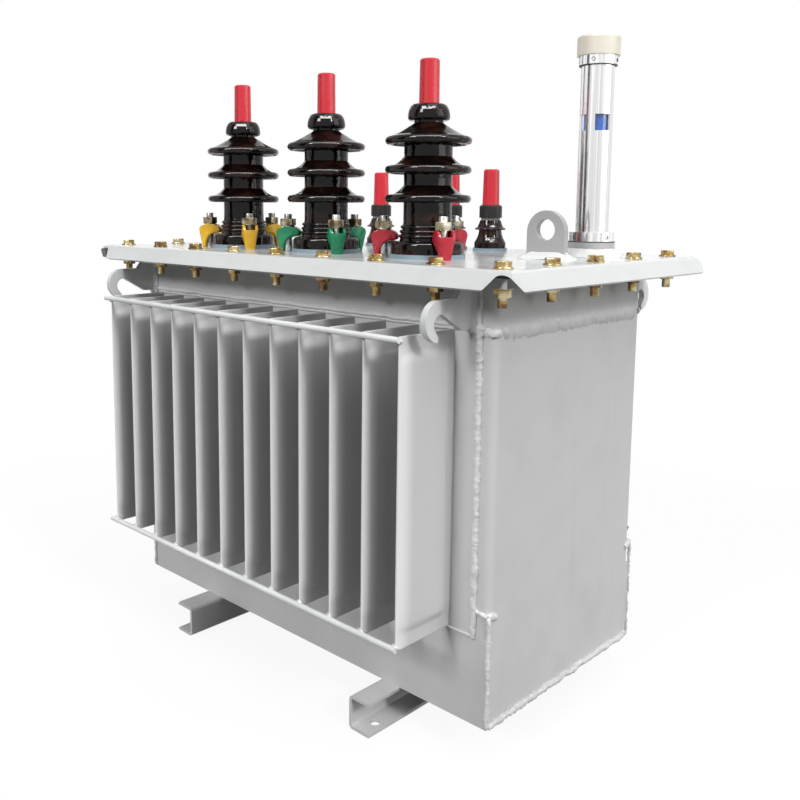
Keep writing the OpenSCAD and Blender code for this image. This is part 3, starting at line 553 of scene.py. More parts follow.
def noise(tree, vector, scale, detail=3.0, rough=0.55):
    return node(tree, "ShaderNodeTexNoise", {
        "Vector": vector, "Scale": scale, "Detail": detail, "Roughness": rough,
    }).outputs["Fac"]


def object_place(tree):
    return node(tree, "ShaderNodeTexCoord").outputs["Object"]


def stretched(tree, vector, scale):
    return node(tree, "ShaderNodeMapping", {"Vector": vector, "Scale": scale}).outputs[0]


def make_sprayed_paint():
    """Sprayed paint: clouds of tone, orange peel, uneven gloss"""
    tree, given, out = new_group(
        "sprayed_paint",
        [("Paint", "Color"), ("Thin", "Color"), ("Gloss", "Float")],
        [("Color", "Color"), ("Roughness", "Float"), ("Height", "Float")],
    )
    place = object_place(tree)
    broad = noise(tree, place, 3.1, 4.0)
    patch = noise(tree, place, 17.0, 5.0, 0.6)
    peel = noise(tree, place, 520.0, 2.0)
    dab = noise(tree, place, 130.0, 3.0)
    cloud = math_node(tree, "ADD", math_node(tree, "MULTIPLY", broad, 0.6),
                      math_node(tree, "MULTIPLY", patch, 0.4))
    tree.links.new(mixed(tree, ramp(tree, cloud, 0.40, 0.66), given["Paint"], given["Thin"]), out["Color"])
    rough = math_node(tree, "ADD", given["Gloss"], ramp(tree, patch, 0.3, 0.75, -0.05, 0.09))
    tree.links.new(rough, out["Roughness"])
    skin = math_node(tree, "ADD", math_node(tree, "MULTIPLY", peel, 0.5),
                     math_node(tree, "MULTIPLY", dab, 0.35))
    tree.links.new(skin, out["Height"])
    return tree


def make_grime():
    """Handling marks: faint smudges and run-down streaks over a colour"""
    tree, given, out = new_group(
        "grime",
        [("Color", "Color"), ("Dirt", "Color"), ("Amount", "Float")],
        [("Color", "Color")],
    )
    place = object_place(tree)
    smudge = ramp(tree, noise(tree, place, 8.0, 7.0, 0.62), 0.54, 0.74)
    streak = ramp(tree, noise(tree, stretched(tree, place, (55.0, 55.0, 2.4)), 1.0, 4.0), 0.56, 0.74)
    speck = ramp(tree, noise(tree, place, 210.0, 2.0), 0.70, 0.76)
    mask = math_node(tree, "MAXIMUM", math_node(tree, "MULTIPLY", smudge, 0.55),
                     math_node(tree, "MULTIPLY", streak, 0.5))
    mask = math_node(tree, "MAXIMUM", mask, math_node(tree, "MULTIPLY", speck, 0.8))
    mask = math_node(tree, "MULTIPLY", mask, given["Amount"])
    tree.links.new(mixed(tree, mask, given["Color"], given["Dirt"]), out["Color"])
    return tree


def make_glaze():
    """Pooled glaze: two tones and a slow waviness"""
    tree, given, out = new_group(
        "glaze",
        [("Dark", "Color"), ("Thin", "Color")],
        [("Color", "Color"), ("Roughness", "Float"), ("Height", "Float")],
    )
    place = object_place(tree)
    pool = noise(tree, stretched(tree, place, (1.0, 1.0, 2.2)), 26.0, 4.0)
    wave = noise(tree, place, 62.0, 2.0)
    speck = ramp(tree, noise(tree, place, 420.0, 2.0), 0.66, 0.74)
    tree.links.new(mixed(tree, ramp(tree, pool, 0.45, 0.72), given["Dark"], given["Thin"]), out["Color"])
    tree.links.new(ramp(tree, speck, 0.0, 1.0, 0.07, 0.22), out["Roughness"])
    tree.links.new(wave, out["Height"])
    return tree


def make_moulding():
    """Moulded or cast skin: a little mottle, fine grain and uneven gloss"""
    tree, given, out = new_group(
        "moulding",
        [("Tone", "Color"), ("Mottle", "Color"), ("Grain", "Float"), ("Gloss", "Float")],
        [("Color", "Color"), ("Roughness", "Float"), ("Height", "Float")],
    )
    place = object_place(tree)
    cloud = noise(tree, place, 34.0, 5.0, 0.6)
    grain = noise(tree, place, given["Grain"], 3.0)
    tree.links.new(mixed(tree, ramp(tree, cloud, 0.38, 0.7), given["Tone"], given["Mottle"]), out["Color"])
    rough = math_node(tree, "ADD", given["Gloss"], ramp(tree, cloud, 0.3, 0.7, -0.05, 0.08))
    tree.links.new(rough, out["Roughness"])
    tree.links.new(grain, out["Height"])
    return tree


def grouped(tree, group, values):
    return node(tree, "ShaderNodeGroup", values, node_tree=group).outputs


def new_material(name):
    """Material with its tree and its Principled shader"""
    material = bpy.data.materials.new(name)
    material.use_nodes = True
    tree = material.node_tree
    return material, tree, tree.nodes["Principled BSDF"]


def bump(tree, shader, height, strength, distance):
    made = node(tree, "ShaderNodeBump", {"Strength": strength, "Distance": distance, "Height": height})
    tree.links.new(made.outputs[0], shader.inputs["Normal"])


def spray(tree, shader, paint, thin, gloss, dirt_amount, weld=False):
    """Sprayed paint under handling marks, lumpy where it covers a weld"""
    skin = grouped(tree, SPRAYED_PAINT, {"Paint": paint, "Thin": thin, "Gloss": gloss})
    marks = grouped(tree, GRIME, {"Color": skin["Color"], "Dirt": DIRT, "Amount": dirt_amount})
    tree.links.new(marks["Color"], shader.inputs["Base Color"])
    tree.links.new(skin["Roughness"], shader.inputs["Roughness"])
    height = skin["Height"]
    if weld:
        lumps = noise(tree, object_place(tree), 260.0, 4.0, 0.65)
        height = math_node(tree, "ADD", height, math_node(tree, "MULTIPLY", lumps, 3.0))
    bump(tree, shader, height, 0.35, 0.0006)


def paint_material(name, paint, thin, gloss, dirt_amount, weld=False):
    material, tree, shader = new_material(name)
    spray(tree, shader, paint, thin, gloss, dirt_amount, weld)
    return material


def fin_shade_and_highlight_material():
    """Tank paint with a painted highlight on the fins' noses and painted shade on the flanks between the fins, full
    low down and fading out towards their tops
    """
    material, tree, shader = new_material("fin_paint_shade_and_highlight")
    place = node(tree, "ShaderNodeSeparateXYZ", {0: object_place(tree)}).outputs
    half_row = (FIN_COUNT - 1) / 2 * FIN_PITCH
    from_middle = math_node(tree, "SUBTRACT", place["X"], FIN_FIRST_X + half_row)
    between = math_node(tree, "LESS_THAN", math_node(tree, "ABSOLUTE", from_middle, 0.0), half_row)
    # Painted shade: darker between the fins, full low down and fading out towards their tops
    depth = ramp(tree, place["Z"], FIN_HIGH - GAP_SHADE_FADE[0], FIN_HIGH - GAP_SHADE_FADE[1], 1.0, 0.0)
    out = math_node(tree, "ABSOLUTE", place["Y"], 0.0)
    # Painted highlight: paler on the fins' noses
    nose = ramp(tree, out, NOSE_Y - NOSE_HIGHLIGHT_FADE[0], NOSE_Y - NOSE_HIGHLIGHT_FADE[1])
    shaded_flank = mixed(tree, math_node(tree, "MULTIPLY", between, depth), TANK_GREY, FIN_GAP_SHADE_GREY)
    tone = mixed(tree, nose, shaded_flank, NOSE_HIGHLIGHT_GREY)
    spray(tree, shader, tone, tone, 0.42, 0.14)
    return material


def glazed_material(name, dark, thin):
    material, tree, shader = new_material(name)
    glaze = grouped(tree, GLAZE, {"Dark": dark, "Thin": thin})
    tree.links.new(glaze["Color"], shader.inputs["Base Color"])
    tree.links.new(glaze["Roughness"], shader.inputs["Roughness"])
    bump(tree, shader, glaze["Height"], 0.4, 0.002)
    shader.inputs["Specular IOR Level"].default_value = 0.24
    return material, tree, shader, glaze


def moulded_material(name, tone, mottle, grain, gloss, strength=0.2):
    material, tree, shader = new_material(name)
    skin = grouped(tree, MOULDING, {"Tone": tone, "Mottle": mottle, "Grain": grain, "Gloss": gloss})
    tree.links.new(skin["Color"], shader.inputs["Base Color"])
    tree.links.new(skin["Roughness"], shader.inputs["Roughness"])
    bump(tree, shader, skin["Height"], strength, 0.0004)
    return material


def low_voltage_material():
    """Glaze below, a plain metal washer and a black nut above, told apart by height"""
    material, tree, shader, glaze = glazed_material(
        "lv_porcelain_and_nut", (0.014, 0.007, 0.006, 1), (0.05, 0.02, 0.014, 1))
    place = object_place(tree)
    height = node(tree, "ShaderNodeSeparateXYZ", {0: place}).outputs["Z"]
    washer = math_node(tree, "GREATER_THAN", height, LV_WASHER_Z)
    nut = math_node(tree, "GREATER_THAN", height, LV_NUT_Z)
    grain = noise(tree, place, 160.0, 3.0)
    steel = mixed(tree, grain, (0.20, 0.20, 0.19, 1), (0.34, 0.33, 0.31, 1))
    black = mixed(tree, grain, (0.012, 0.011, 0.011, 1), (0.03, 0.026, 0.025, 1))
    metal = mixed(tree, nut, steel, black)
    tree.links.new(mixed(tree, washer, glaze["Color"], metal), shader.inputs["Base Color"])
    rough = node(tree, "ShaderNodeMix", {0: washer, 2: glaze["Roughness"], 3: 0.42}).outputs[0]
    tree.links.new(rough, shader.inputs["Roughness"])
    return material


def zinc_material(name, tones, rough):
    """Plated steel: three tones that change from place to place, fine scratches"""
    material, tree, shader = new_material(name)
    place = object_place(tree)
    cast = noise(tree, place, 60.0, 1.0)
    fine = noise(tree, place, 700.0, 2.0)
    dark, middle, pale = tones
    tone = mixed(tree, ramp(tree, cast, 0.36, 0.50), dark, middle)
    tree.links.new(mixed(tree, ramp(tree, cast, 0.54, 0.66), tone, pale), shader.inputs["Base Color"])
    tree.links.new(ramp(tree, fine, 0.3, 0.7, rough - 0.07, rough + 0.1), shader.inputs["Roughness"])
    shader.inputs["Metallic"].default_value = 0.75
    bump(tree, shader, fine, 0.12, 0.0003)
    return material


def polished_material():
    """Turned and polished aluminium: fine upright drawing lines, hazy bands"""
    material, tree, shader = new_material("polished_aluminium")
    place = object_place(tree)
    lines = noise(tree, stretched(tree, place, (900.0, 900.0, 4.0)), 1.0, 2.0)
    haze = noise(tree, stretched(tree, place, (260.0, 260.0, 1.2)), 1.0, 3.0)
    tone = mixed(tree, ramp(tree, haze, 0.40, 0.62), (0.70, 0.70, 0.71, 1), (0.92, 0.92, 0.93, 1))
    tree.links.new(tone, shader.inputs["Base Color"])
    tree.links.new(ramp(tree, lines, 0.3, 0.7, 0.12, 0.24), shader.inputs["Roughness"])
    shader.inputs["Metallic"].default_value = 1.0
    bump(tree, shader, lines, 0.05, 0.0002)
    return material


def sleeve_material():
    material, tree, shader = new_material("clear_sleeve")
    smear = noise(tree, object_place(tree), 90.0, 3.0)
    tree.links.new(ramp(tree, smear, 0.4, 0.8, 0.01, 0.08), shader.inputs["Roughness"])
    shader.inputs["Base Color"].default_value = (0.86, 0.93, 1.0, 1)
    shader.inputs["Transmission Weight"].default_value = 1.0
    shader.inputs["IOR"].default_value = 1.45
    return material


def dress_nodes(looks):
    """Gives every CAD node the material of its slot, or its own"""
    slots = {part["node"]: part["material_slot"] for part in frame["record"]["subparts"]}
    for name, body in frame["nodes"].items():
        own = [material for prefix, material in OWN_LOOKS.items() if name.startswith(prefix)]
        material = own[0] if own else looks[slots[name]]
        body.data.materials.clear()
        body.data.materials.append(material)


# Pieces

def bolt_places():
    long_step = 2 * BOLT_X / (BOLTS_LONG - 1)
    short_step = 2 * BOLT_Y / (BOLTS_SHORT - 1)
    places = [(i * long_step - BOLT_X, side * BOLT_Y) for i in range(BOLTS_LONG) for side in (-1, 1)]
    return places + [(side * BOLT_X, j * short_step - BOLT_Y)
                     for j in range(1, BOLTS_SHORT - 1) for side in (-1, 1)]


def pressed_fin():
    """One fin: a block cut into rows and columns, pinched at its seams, root and nose, then smoothed"""
    low, high = FIN_COLUMNS[0][0], FIN_COLUMNS[-1][0]
    deselect()
    bpy.ops.mesh.primitive_cube_add(size=1.0, location=(0.0, (low + high) / 2, FIN_H / 2))
    fin = bpy.context.object
    fin.scale = (FIN_T, high - low, FIN_H)
    settle()
    edit(fin)
    cuts = [((0, 0, z), (0, 0, 1)) for z, swell, opened in FIN_ROWS[1:-1]]
    cuts += [((0, column[0], 0), (0, 1, 0)) for column in FIN_COLUMNS[1:-1]]
    for place, normal in cuts + [((0, 0, 0), (1, 0, 0))]:
        bpy.ops.mesh.select_all(action="SELECT")
        bpy.ops.mesh.bisect(plane_co=place, plane_no=normal)
    for z, swell, opened in FIN_ROWS:
        for y, full, pinched, pinched_y, seam in FIN_COLUMNS:
            half = seam + swell * (pinched + opened * (full - pinched) - seam)
            pick(fin, "VERT", lambda v: abs(v.co.y - y) < 1e-5 and abs(v.co.z - z) < 1e-5)
            bpy.ops.transform.resize(value=(half / (FIN_T / 2), 1, 1), center_override=(0, y, z))
            if swell * (1 - opened) > 0 and pinched_y != y:
                bpy.ops.transform.translate(value=(0, swell * (1 - opened) * (pinched_y - y), 0))
    leave_edit()
    round_off = fin.modifiers.new("soft_press", "SUBSURF")
    round_off.levels = 2
    round_off.render_levels = 2
    bpy.ops.object.modifier_apply(modifier=round_off.name)
    return fin


def add_fins():
    """Twelve pressed fins on each long side, in place of the plainer ones"""
    fin = pressed_fin()
    for side, sy in (("front", -1), ("back", 1)):
        row = []
        for i in range(FIN_COUNT):
            place = Matrix.Translation((FIN_FIRST_X + i * FIN_PITCH, sy * HALF_W, FIN_LOW))
            row.append(copy_of(fin, f"{side}_fin", place @ Matrix.Scale(sy, 4, (0, 1, 0))))
        sheets = join(f"{side}_pressed_fins", row)
        finish_piece(sheets, FIN_SHADE_AND_HIGHLIGHT_PAINT, SMOOTH_FIN)
        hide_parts(f"{side}_fins")
    bpy.data.objects.remove(fin)


def claw_clamp():
    """One clamp: its side drawn point by point, drawn out to its width, tapered, rounded and cut out for the stud"""
    deselect()
    bpy.ops.mesh.primitive_plane_add(size=0.001, location=(0, 0, 0))
    clamp = bpy.context.object
    edit(clamp)
    bpy.ops.mesh.select_all(action="SELECT")
    bpy.ops.mesh.merge(type="CENTER")
    corners = [Vector((out, -CLAMP_HALF_W, height)) for out, height, half in CLAMP_SIDE]
    bpy.ops.transform.translate(value=corners[0])
    for last, corner in zip(corners, corners[1:]):
        bpy.ops.mesh.extrude_vertices_move(TRANSFORM_OT_translate={"value": corner - last})
    bpy.ops.mesh.select_all(action="SELECT")
    bpy.ops.mesh.edge_face_add()
    bpy.ops.mesh.extrude_region_move(TRANSFORM_OT_translate={"value": (0, 2 * CLAMP_HALF_W, 0)})
    for out, height, half in CLAMP_SIDE:
        pick(clamp, "VERT", lambda v: abs(v.co.x - out) < 1e-5 and abs(v.co.z - height) < 1e-5)
        bpy.ops.transform.resize(value=(1, half / CLAMP_HALF_W, 1), center_override=(out, 0, height))
    bpy.ops.mesh.select_all(action="SELECT")
    bpy.ops.mesh.normals_make_consistent(inside=False)
    pick(clamp, "EDGE", lambda e: any(len(f.verts) > 10 for f in e.link_faces))
    bpy.ops.mesh.bevel(offset=0.0022, segments=3, affect="EDGES")
    bpy.ops.mesh.select_all(action="SELECT")
    bpy.ops.mesh.quads_convert_to_tris()
    leave_edit()
    deselect()
    bpy.ops.mesh.primitive_cube_add(size=1.0, location=STUD_SLOT_PLACE)
    slot_block = bpy.context.object
    slot_block.scale = STUD_SLOT_SIZE
    settle()
    choose(clamp)
    cut = clamp.modifiers.new("stud_slot", "BOOLEAN")
    cut.operation = "DIFFERENCE"
    cut.object = slot_block
    bpy.ops.object.modifier_apply(modifier=cut.name)
    bpy.data.objects.remove(slot_block)
    return clamp


def add_clamps():
    """Three cast clamps round each high-voltage bushing, in place of the plainer ones"""
    clamp = claw_clamp()
    slots = ("yellow_clamp", "green_clamp", "red_clamp")
    for side, x, slot in zip(("left", "middle", "right"), HV_PLACES, slots):
        trio = []
        for angle in CLAMP_ANGLES:
            move = Matrix.Translation((x, HV_Y, LID_TOP)) @ Matrix.Rotation(math.radians(angle), 4, "Z")
            trio.append(copy_of(clamp, f"{side}_clamp", move))
        clamps = join(f"{side}_cast_clamps", trio)
        finish_piece(clamps, LOOKS[slot], SMOOTH_CAST)
        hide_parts(f"hv_clamps_{side}")
    bpy.data.objects.remove(clamp)


def add_gauge_tube():
    """Drawn tube with four windows, in place of the plainer one"""
    low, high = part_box("gauge_tube")
    deselect()
    bpy.ops.mesh.primitive_cylinder_add(vertices=96, radius=(high.x - low.x) / 2, depth=high.z - low.z,
                                        end_fill_type="NOTHING", location=(low + high) / 2)
    tube = bpy.context.object
    tube.name = "gauge_window_tube"
    settle()
    edit(tube)
    sill, head = low.z + WINDOW_LOW, low.z + WINDOW_LOW + WINDOW_H
    for z in (sill, head):
        bpy.ops.mesh.select_all(action="SELECT")
        bpy.ops.mesh.bisect(plane_co=(0, 0, z), plane_no=(0, 0, 1))

    def in_window(face):
        place = face.calc_center_median() - GAUGE_PLACE
        turn = (math.degrees(math.atan2(place.y, place.x)) - WINDOW_TURN + 45.0) % 90.0 - 45.0
        return sill < place.z < head and abs(turn) < WINDOW_HALF

    pick(tube, "FACE", in_window)
    bpy.ops.mesh.delete(type="FACE")
    leave_edit()
    wall = tube.modifiers.new("tube_wall", "SOLIDIFY")
    wall.thickness = TUBE_WALL
    wall.offset = -1.0
    bpy.ops.object.modifier_apply(modifier=wall.name)
    finish_piece(tube, LOOKS["polished_aluminium"], SMOOTH_CUT)
    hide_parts("gauge_tube")


def add_lid_bolts():
    """Hexagon bolts through lid and rim, each with washers, and a nut and the thread's end below"""
    bolt = join("lid_bolt", [
        turned_disc(0.0122, LID_TOP, 0.0020, 0.0006),
        hex_block(0.0107, LID_TOP + 0.0020, 0.0070),
        turned_disc(0.0060, RIM_UNDER - 0.0250, LID_TOP - RIM_UNDER + 0.0300, 0.0010, 20),
        turned_disc(0.0125, RIM_UNDER - 0.0024, 0.0024, 0.0006),
        hex_block(0.0108, RIM_UNDER - 0.0124, 0.0100, 0.3),
    ])
    for index, (x, y) in enumerate(bolt_places()):
        turn = Matrix.Rotation(math.radians(37.0 * index), 4, "Z")
        twin = copy_of(bolt, f"lid_bolt_{index + 1:02d}", Matrix.Translation((x, y, 0.0)) @ turn)
        finish_piece(twin, LOOKS["zinc_bolt"], SMOOTH_CUT)
    bpy.data.objects.remove(bolt)


def add_clamp_studs():
    """Studs with washer and nut that pull the clamps down"""
    nut = join("clamp_nut", [
        turned_disc(0.0112, CLAMP_SEAT, 0.0012, 0.0004),
        hex_block(0.0126, CLAMP_SEAT + 0.0012, 0.0105),
    ])
    stud = turned_disc(0.0062, LID_TOP, 0.0592, 0.0012, 20)
    count = 0
    for x in HV_PLACES:
        for angle in CLAMP_ANGLES:
            count += 1
            turn = math.radians(angle)
            place = Vector((x + CLAMP_STUD_R * math.cos(turn), HV_Y + CLAMP_STUD_R * math.sin(turn), 0.0))
            move = Matrix.Translation(place) @ Matrix.Rotation(math.radians(23.0 * count), 4, "Z")
            finish_piece(copy_of(nut, f"clamp_nut_{count}", move), NUT_ZINC, SMOOTH_CUT)
            finish_piece(copy_of(stud, f"clamp_stud_{count}", move), BRIGHT_ZINC, SMOOTH_CUT)
    bpy.data.objects.remove(nut)
    bpy.data.objects.remove(stud)


def add_set_screws():
    """Socket screws in the gauge's ring and collar"""
    deselect()
    bpy.ops.mesh.primitive_cylinder_add(vertices=20, radius=0.0030, depth=0.0040)
    screw = bpy.context.object
    settle()
    edit(screw)
    pick(screw, "FACE", lambda f: f.normal.z > 0.9)
    bpy.ops.mesh.inset(thickness=0.0010)
    bpy.ops.mesh.extrude_region_move(TRANSFORM_OT_translate={"value": (0, 0, -0.0022)})
    leave_edit()
    ring_r = (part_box("gauge_ring")[1].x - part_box("gauge_ring")[0].x) / 2
    collar_r = (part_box("gauge_collar")[1].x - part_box("gauge_collar")[0].x) / 2
    for carrier, radius, first in (("gauge_ring", ring_r, -20), ("gauge_collar", collar_r, -75)):
        low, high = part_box(carrier)
        for index in range(4):
            angle = math.radians(first + 90 * index)
            turn = Matrix.Rotation(angle, 4, "Z") @ Matrix.Rotation(math.radians(90), 4, "Y")
            out = Vector((math.cos(angle), math.sin(angle), 0.0)) * (radius - 0.0014)
            place = GAUGE_PLACE + out + Vector((0, 0, (low.z + high.z) / 2))
            twin = copy_of(screw, f"{carrier}_screw_{index + 1}", Matrix.Translation(place) @ turn)
            finish_piece(twin, BLACK_STEEL, SMOOTH_CUT)
    bpy.data.objects.remove(screw)


def add_gauge_shade_rings():
    """Thin black rings under the gauge's ring and its top collar: dark things put in as painted shade along these
    joints
    """
    for carrier, lip, thick in (("gauge_ring", 0.0010, 0.0022), ("gauge_collar", 0.0002, 0.0014)):
        low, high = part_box(carrier)
        shade_ring = turned_disc((high.x - low.x) / 2 + lip, low.z - 0.0005, thick, 0.0004, 64)
        shade_ring.name = f"{carrier}_seal"
        shade_ring.data.transform(Matrix.Translation(GAUGE_PLACE))
        finish_piece(shade_ring, BLACK_RUBBER_AND_SHADE, SMOOTH_CUT)


def add_lid_welds():
    """Fillets round the feet of the lugs and of the gauge's neck"""
    for side in ("left", "right"):
        low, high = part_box(f"{side}_lug")
        skirt = weld_skirt(f"{side}_lug_weld", (low.x, low.y, LID_TOP), (high.x, high.y, LID_TOP),
                           LID_FILLET, 0.010, (0, 0, 1))
        finish_piece(skirt, WELD_WHITE, SMOOTH_WELD)
    low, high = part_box("gauge_neck")
    deselect()
    bpy.ops.mesh.primitive_cylinder_add(vertices=64, radius=(high.x - low.x) / 2 + LID_FILLET, depth=0.012,
                                        location=GAUGE_PLACE + Vector((0, 0, LID_TOP + 0.006)))
    skirt = bpy.context.object
    skirt.name = "gauge_neck_weld"
    settle()
    edit(skirt)
    pick(skirt, "FACE", lambda f: f.normal.z > 0.9)
    shrink = (high.x - low.x) / (high.x - low.x + 2 * LID_FILLET)
    bpy.ops.transform.resize(value=(shrink, shrink, 1.0))
    bpy.ops.mesh.inset(thickness=0.004)
    pick(skirt, "EDGE", lambda e: abs(e.verts[0].co.z - e.verts[1].co.z) > 0.005)
    bpy.ops.mesh.subdivide(number_cuts=5)
    leave_edit()
    lay_by_hand(skirt, 0.0025, 0.0016)
    finish_piece(skirt, WELD_WHITE, SMOOTH_WELD)


def add_hook_welds():
    """Fillets where the hooks meet the collar"""
    for side, sign in (("front", -1), ("back", 1)):
        for end in ("left", "right"):
            low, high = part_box(f"{side}_{end}_hook")
            skirt = weld_skirt(
                f"{side}_{end}_hook_weld",
                (low.x, sign * HALF_W, COLLAR_LOW + 0.001), (high.x, sign * HALF_W, RIM_UNDER - 0.004),
                0.006, 0.006, (0, sign, 0))
            finish_piece(skirt, WELD_GREY, SMOOTH_WELD)


def add_tank_welds():
    """Beads on the tank's seams, the same at both ends and on both long sides"""
    # Name, start, end, radius, wobble and ripple of each bead
    runs = []
    seam_z = COLLAR_LOW - 0.002
    foot_z = FLOOR_LOW + 0.005
    for sx in (-1, 1):
        end = "right" if sx > 0 else "left"
        face, wrap = sx * HALF_L, sx * WRAP_X
        sunk_x = face - sx * 0.0165
        runs += [
            (f"{end}_end_top_weld", (sunk_x, BEND_R - HALF_W, seam_z), (sunk_x, HALF_W - BEND_R, seam_z),
             0.0196, 0.004, 0.005),
            (f"{end}_end_foot_weld", (face, 0.002 - HALF_W, foot_z), (face, HALF_W - 0.002, foot_z),
             0.0052, 0.006, 0.0042),
        ]
        for sy in (-1, 1):
            corner = f"{'front' if sy < 0 else 'back'}_{end}"
            side = sy * HALF_W
            sunk_y = side - sy * 0.0045
            runs += [
                (f"{corner}_corner_weld", (wrap, side, WALL_LOW - 0.003), (wrap, side, COLLAR_LOW + 0.010),
                 0.0050, 0.004, 0.0034),
                (f"{corner}_collar_weld", (wrap, side, COLLAR_LOW), (wrap, side, RIM_UNDER - 0.003),
                 0.0036, 0.003, 0.0024),
                (f"{corner}_edge_weld", (face, side, FLOOR_LOW + 0.002), (face, side, SPUR_Z),
                 0.0034 if sy < 0 else 0.0022, 0.005, 0.0034),
                (f"{corner}_spur_weld", (face - sx * 0.002, side, SPUR_Z + 0.002),
                 (face, side - sy * 0.018, SPUR_Z - 0.004), 0.0046, 0.004, 0.0042),
                (f"{corner}_link_weld", (wrap, side, SPUR_Z + 0.003), (face - sx * 0.002, side, SPUR_Z),
                 0.0034, 0.005, 0.0030),
                (f"{corner}_seam_weld", (wrap, sunk_y, seam_z), (face - sx * 0.007, sunk_y, seam_z),
                 0.0076, 0.004, 0.004),
                (f"{corner}_blob_weld", (wrap - sx * 0.001, side, COLLAR_LOW - 0.008),
                 (wrap + sx * 0.003, side, COLLAR_LOW + 0.008), 0.0066, 0.008, 0.006),
            ]
            middle = (face - sx * BEND_R, side - sy * BEND_R, seam_z)
            bead = weld_round(f"{corner}_bend_weld", middle, BEND_R - 0.0022, 0.0056, math.atan2(sy, sx))
            finish_piece(bead, WELD_GREY, SMOOTH_WELD)
    for sy in (-1, 1):
        side = "front" if sy < 0 else "back"
        wall = sy * HALF_W
        for part, z, radius, wobble, ripple in (
            ("top", COLLAR_LOW + 0.004, 0.0032, 0.004, 0.0026),
            ("brim", COLLAR_LOW - 0.001, 0.0022, 0.003, 0.0018),
            ("foot", WALL_LOW, 0.0020, 0.002, 0.0016),
        ):
            runs.append((f"{side}_wall_{part}_weld", (-WRAP_X, wall, z), (WRAP_X, wall, z), radius, wobble, ripple))
    for name, start, end, radius, wobble, ripple in runs:
        look = BROAD_WELD if radius > BROAD_BEAD else WELD_GREY
        finish_piece(weld_run(name, start, end, radius, wobble, ripple), look, SMOOTH_WELD)


def add_rod_welds():
    """Small dabs of weld where the rods cross the fins' noses"""
    deselect()
    bpy.ops.mesh.primitive_uv_sphere_add(segments=14, ring_count=10, radius=1.0)
    dab = bpy.context.object
    dab.scale = (0.0062, 0.0036, 0.0042)
    settle()
    for side, sy in (("front", -1), ("back", 1)):
        dabs = []
        for i in range(FIN_COUNT):
            for z in (FIN_LOW + ROD_R + 0.002, FIN_HIGH - ROD_R - 0.002):
                place = Vector((FIN_FIRST_X + i * FIN_PITCH, sy * (NOSE_Y + 0.0010), z))
                dabs.append(copy_of(dab, f"{side}_dab", Matrix.Translation(place)))
        welds = join(f"{side}_rod_welds", dabs)
        displace(welds, RIPPLE, 0.003)
        finish_piece(welds, WELD_GREY, SMOOTH_WELD)
    bpy.data.objects.remove(dab)


def add_earth_stud():
    """Small earthing screw on the bent corner at the back of the right end"""
    stud = join("earth_stud", [
        turned_disc(0.0052, 0.0, 0.0018, 0.0004, 20),
        hex_block(0.0046, 0.0018, 0.0036),
        turned_disc(0.0026, 0.0, 0.0110, 0.0006, 16),
    ])
    turn = Matrix.Rotation(math.radians(-90), 4, "X")
    stud.data.transform(Matrix.Translation(EARTH_STUD_PLACE) @ turn)
    finish_piece(stud, BLACK_STEEL, SMOOTH_CUT)


# Studio, looks, then the pieces in order
add_camera()
add_floor()
add_world()
add_flags()
for lamp in LAMPS:
    add_sun(*lamp)
# The lamp behind lights the far sides, with no glint on the sides that the photo shows
bpy.data.objects["back_light"].visible_glossy = False
add_strip("ceiling_strip", place=(0.9, -1.5, 3.0), along=(0.717, 0.697, 0.0), length=3.4, width=0.45, radiance=40.0)

# Shared effects, the textures that shape the welds, and the looks of the slots and of the new pieces
SPRAYED_PAINT = make_sprayed_paint()
GRIME = make_grime()
GLAZE = make_glaze()
MOULDING = make_moulding()
WANDER = cloud_texture("weld_wander", 0.022, True)
RIPPLE = cloud_texture("weld_ripple", 0.0034, False)

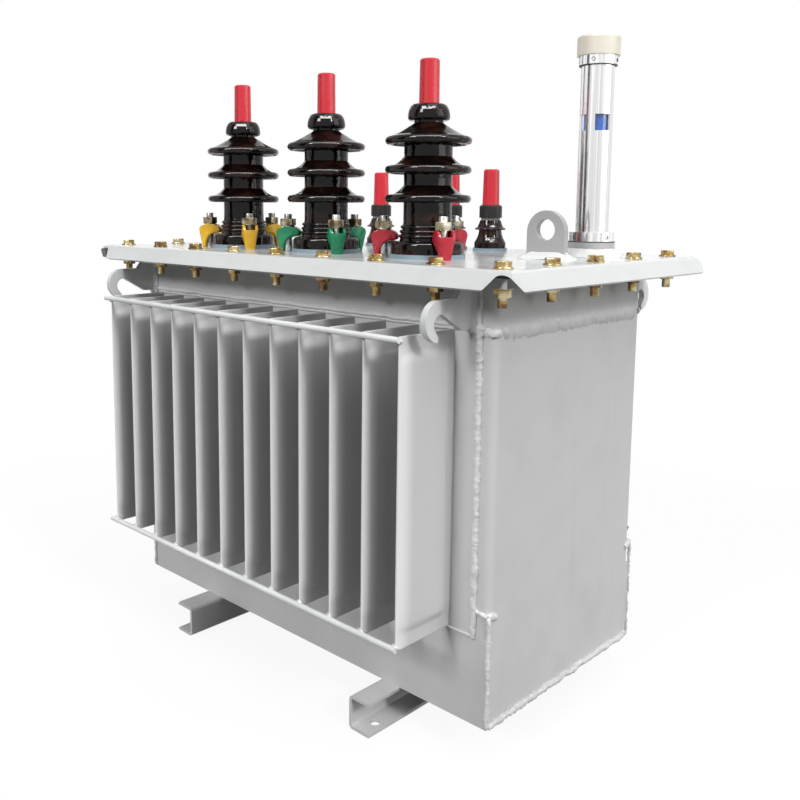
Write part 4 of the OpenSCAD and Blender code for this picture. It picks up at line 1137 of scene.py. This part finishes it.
LOOKS = {
    "tank_paint": paint_material("tank_paint", TANK_GREY, TANK_THIN, 0.48, 0.14),
    "lid_paint": paint_material("lid_paint", LID_WHITE, LID_THIN, 0.16, 0.10),
    "gasket_rubber": moulded_material("gasket_rubber", (0.23, 0.305, 0.35, 1), (0.19, 0.26, 0.30, 1), 300.0, 0.55),
    "dark_porcelain": glazed_material("dark_porcelain", (0.0045, 0.0028, 0.0024, 1), (0.030, 0.0105, 0.0075, 1))[0],
    "red_cap": moulded_material("red_cap", (0.66, 0.020, 0.036, 1), (0.59, 0.015, 0.028, 1), 240.0, 0.30, 0.1),
    "yellow_clamp": moulded_material("yellow_clamp", (0.80, 0.47, 0.020, 1), (0.72, 0.40, 0.015, 1), 160.0, 0.20),
    "green_clamp": moulded_material("green_clamp", (0.008, 0.25, 0.11, 1), (0.006, 0.20, 0.09, 1), 160.0, 0.20),
    "red_clamp": moulded_material("red_clamp", (0.42, 0.009, 0.026, 1), (0.36, 0.007, 0.020, 1), 160.0, 0.20),
    "polished_aluminium": polished_material(),
    "clear_sleeve": sleeve_material(),
    "blue_float": moulded_material("blue_float", (0.002, 0.078, 0.34, 1), (0.002, 0.064, 0.29, 1), 200.0, 0.25),
    "cream_plastic": moulded_material("cream_plastic", (0.86, 0.81, 0.70, 1), (0.82, 0.76, 0.64, 1), 180.0, 0.40),
    "zinc_bolt": zinc_material("zinc_bolt", YELLOW_ZINC_TONES, 0.24),
}
NUT_ZINC = zinc_material("nut_zinc", NUT_ZINC_TONES, 0.24)
BRIGHT_ZINC = zinc_material("bright_zinc", BRIGHT_ZINC_TONES, 0.28)
BLACK_STEEL = zinc_material("black_steel", BLACK_STEEL_TONES, 0.40)
WELD_GREY = paint_material("weld_grey", WELD_TONE, TANK_GREY, 0.34, 0.15, weld=True)
WELD_WHITE = paint_material("weld_white", ROD_WHITE, LID_WHITE, 0.25, 0.1, weld=True)
BROAD_WELD = paint_material("broad_weld", TANK_GREY, TANK_THIN, 0.45, 0.20, weld=True)
ROD_PAINT = paint_material("rod_paint", ROD_WHITE, LID_WHITE, 0.30, 0.08)
# Tank paint with painted shade between the fins and a painted highlight on their noses
FIN_SHADE_AND_HIGHLIGHT_PAINT = fin_shade_and_highlight_material()
HOOK_PAINT = paint_material("hook_paint", HOOK_WHITE, LID_WHITE, 0.32, 0.08)
# Black rubber for the lid's gasket, and painted shade on the gauge's thin black rings that stand in for shadowed
# joints
BLACK_RUBBER_AND_SHADE = moulded_material("black_rubber_and_shade", (0.030, 0.032, 0.034, 1), (0.022, 0.023, 0.025, 1), 300.0, 0.55)
# The tank's paint made darker: painted shade on the lugs; the gauge's neck has it too
LUG_SHADE_PAINT = paint_material("lug_shade_paint", LUG_SHADE_GREY, LUG_SHADE_THIN, 0.42, 0.14)
# Nodes that don't look like the rest of their slot, by the start of their names
OWN_LOOKS = {
    "lv_bushing": low_voltage_material(),
    "lid_gasket": BLACK_RUBBER_AND_SHADE,
    "left_lug": LUG_SHADE_PAINT,
    "right_lug": LUG_SHADE_PAINT,
    "gauge_neck": LUG_SHADE_PAINT,
    "front_rods": ROD_PAINT,
    "back_rods": ROD_PAINT,
    "front_left_hook": HOOK_PAINT,
    "front_right_hook": HOOK_PAINT,
    "back_left_hook": HOOK_PAINT,
    "back_right_hook": HOOK_PAINT,
}
dress_nodes(LOOKS)

add_fins()
add_clamps()
add_gauge_tube()
add_lid_bolts()
add_clamp_studs()
add_set_screws()
add_gauge_shade_rings()
add_lid_welds()
add_hook_welds()
add_tank_welds()
add_rod_welds()
add_earth_stud()

bpy.context.scene.view_settings.view_transform = "Standard"
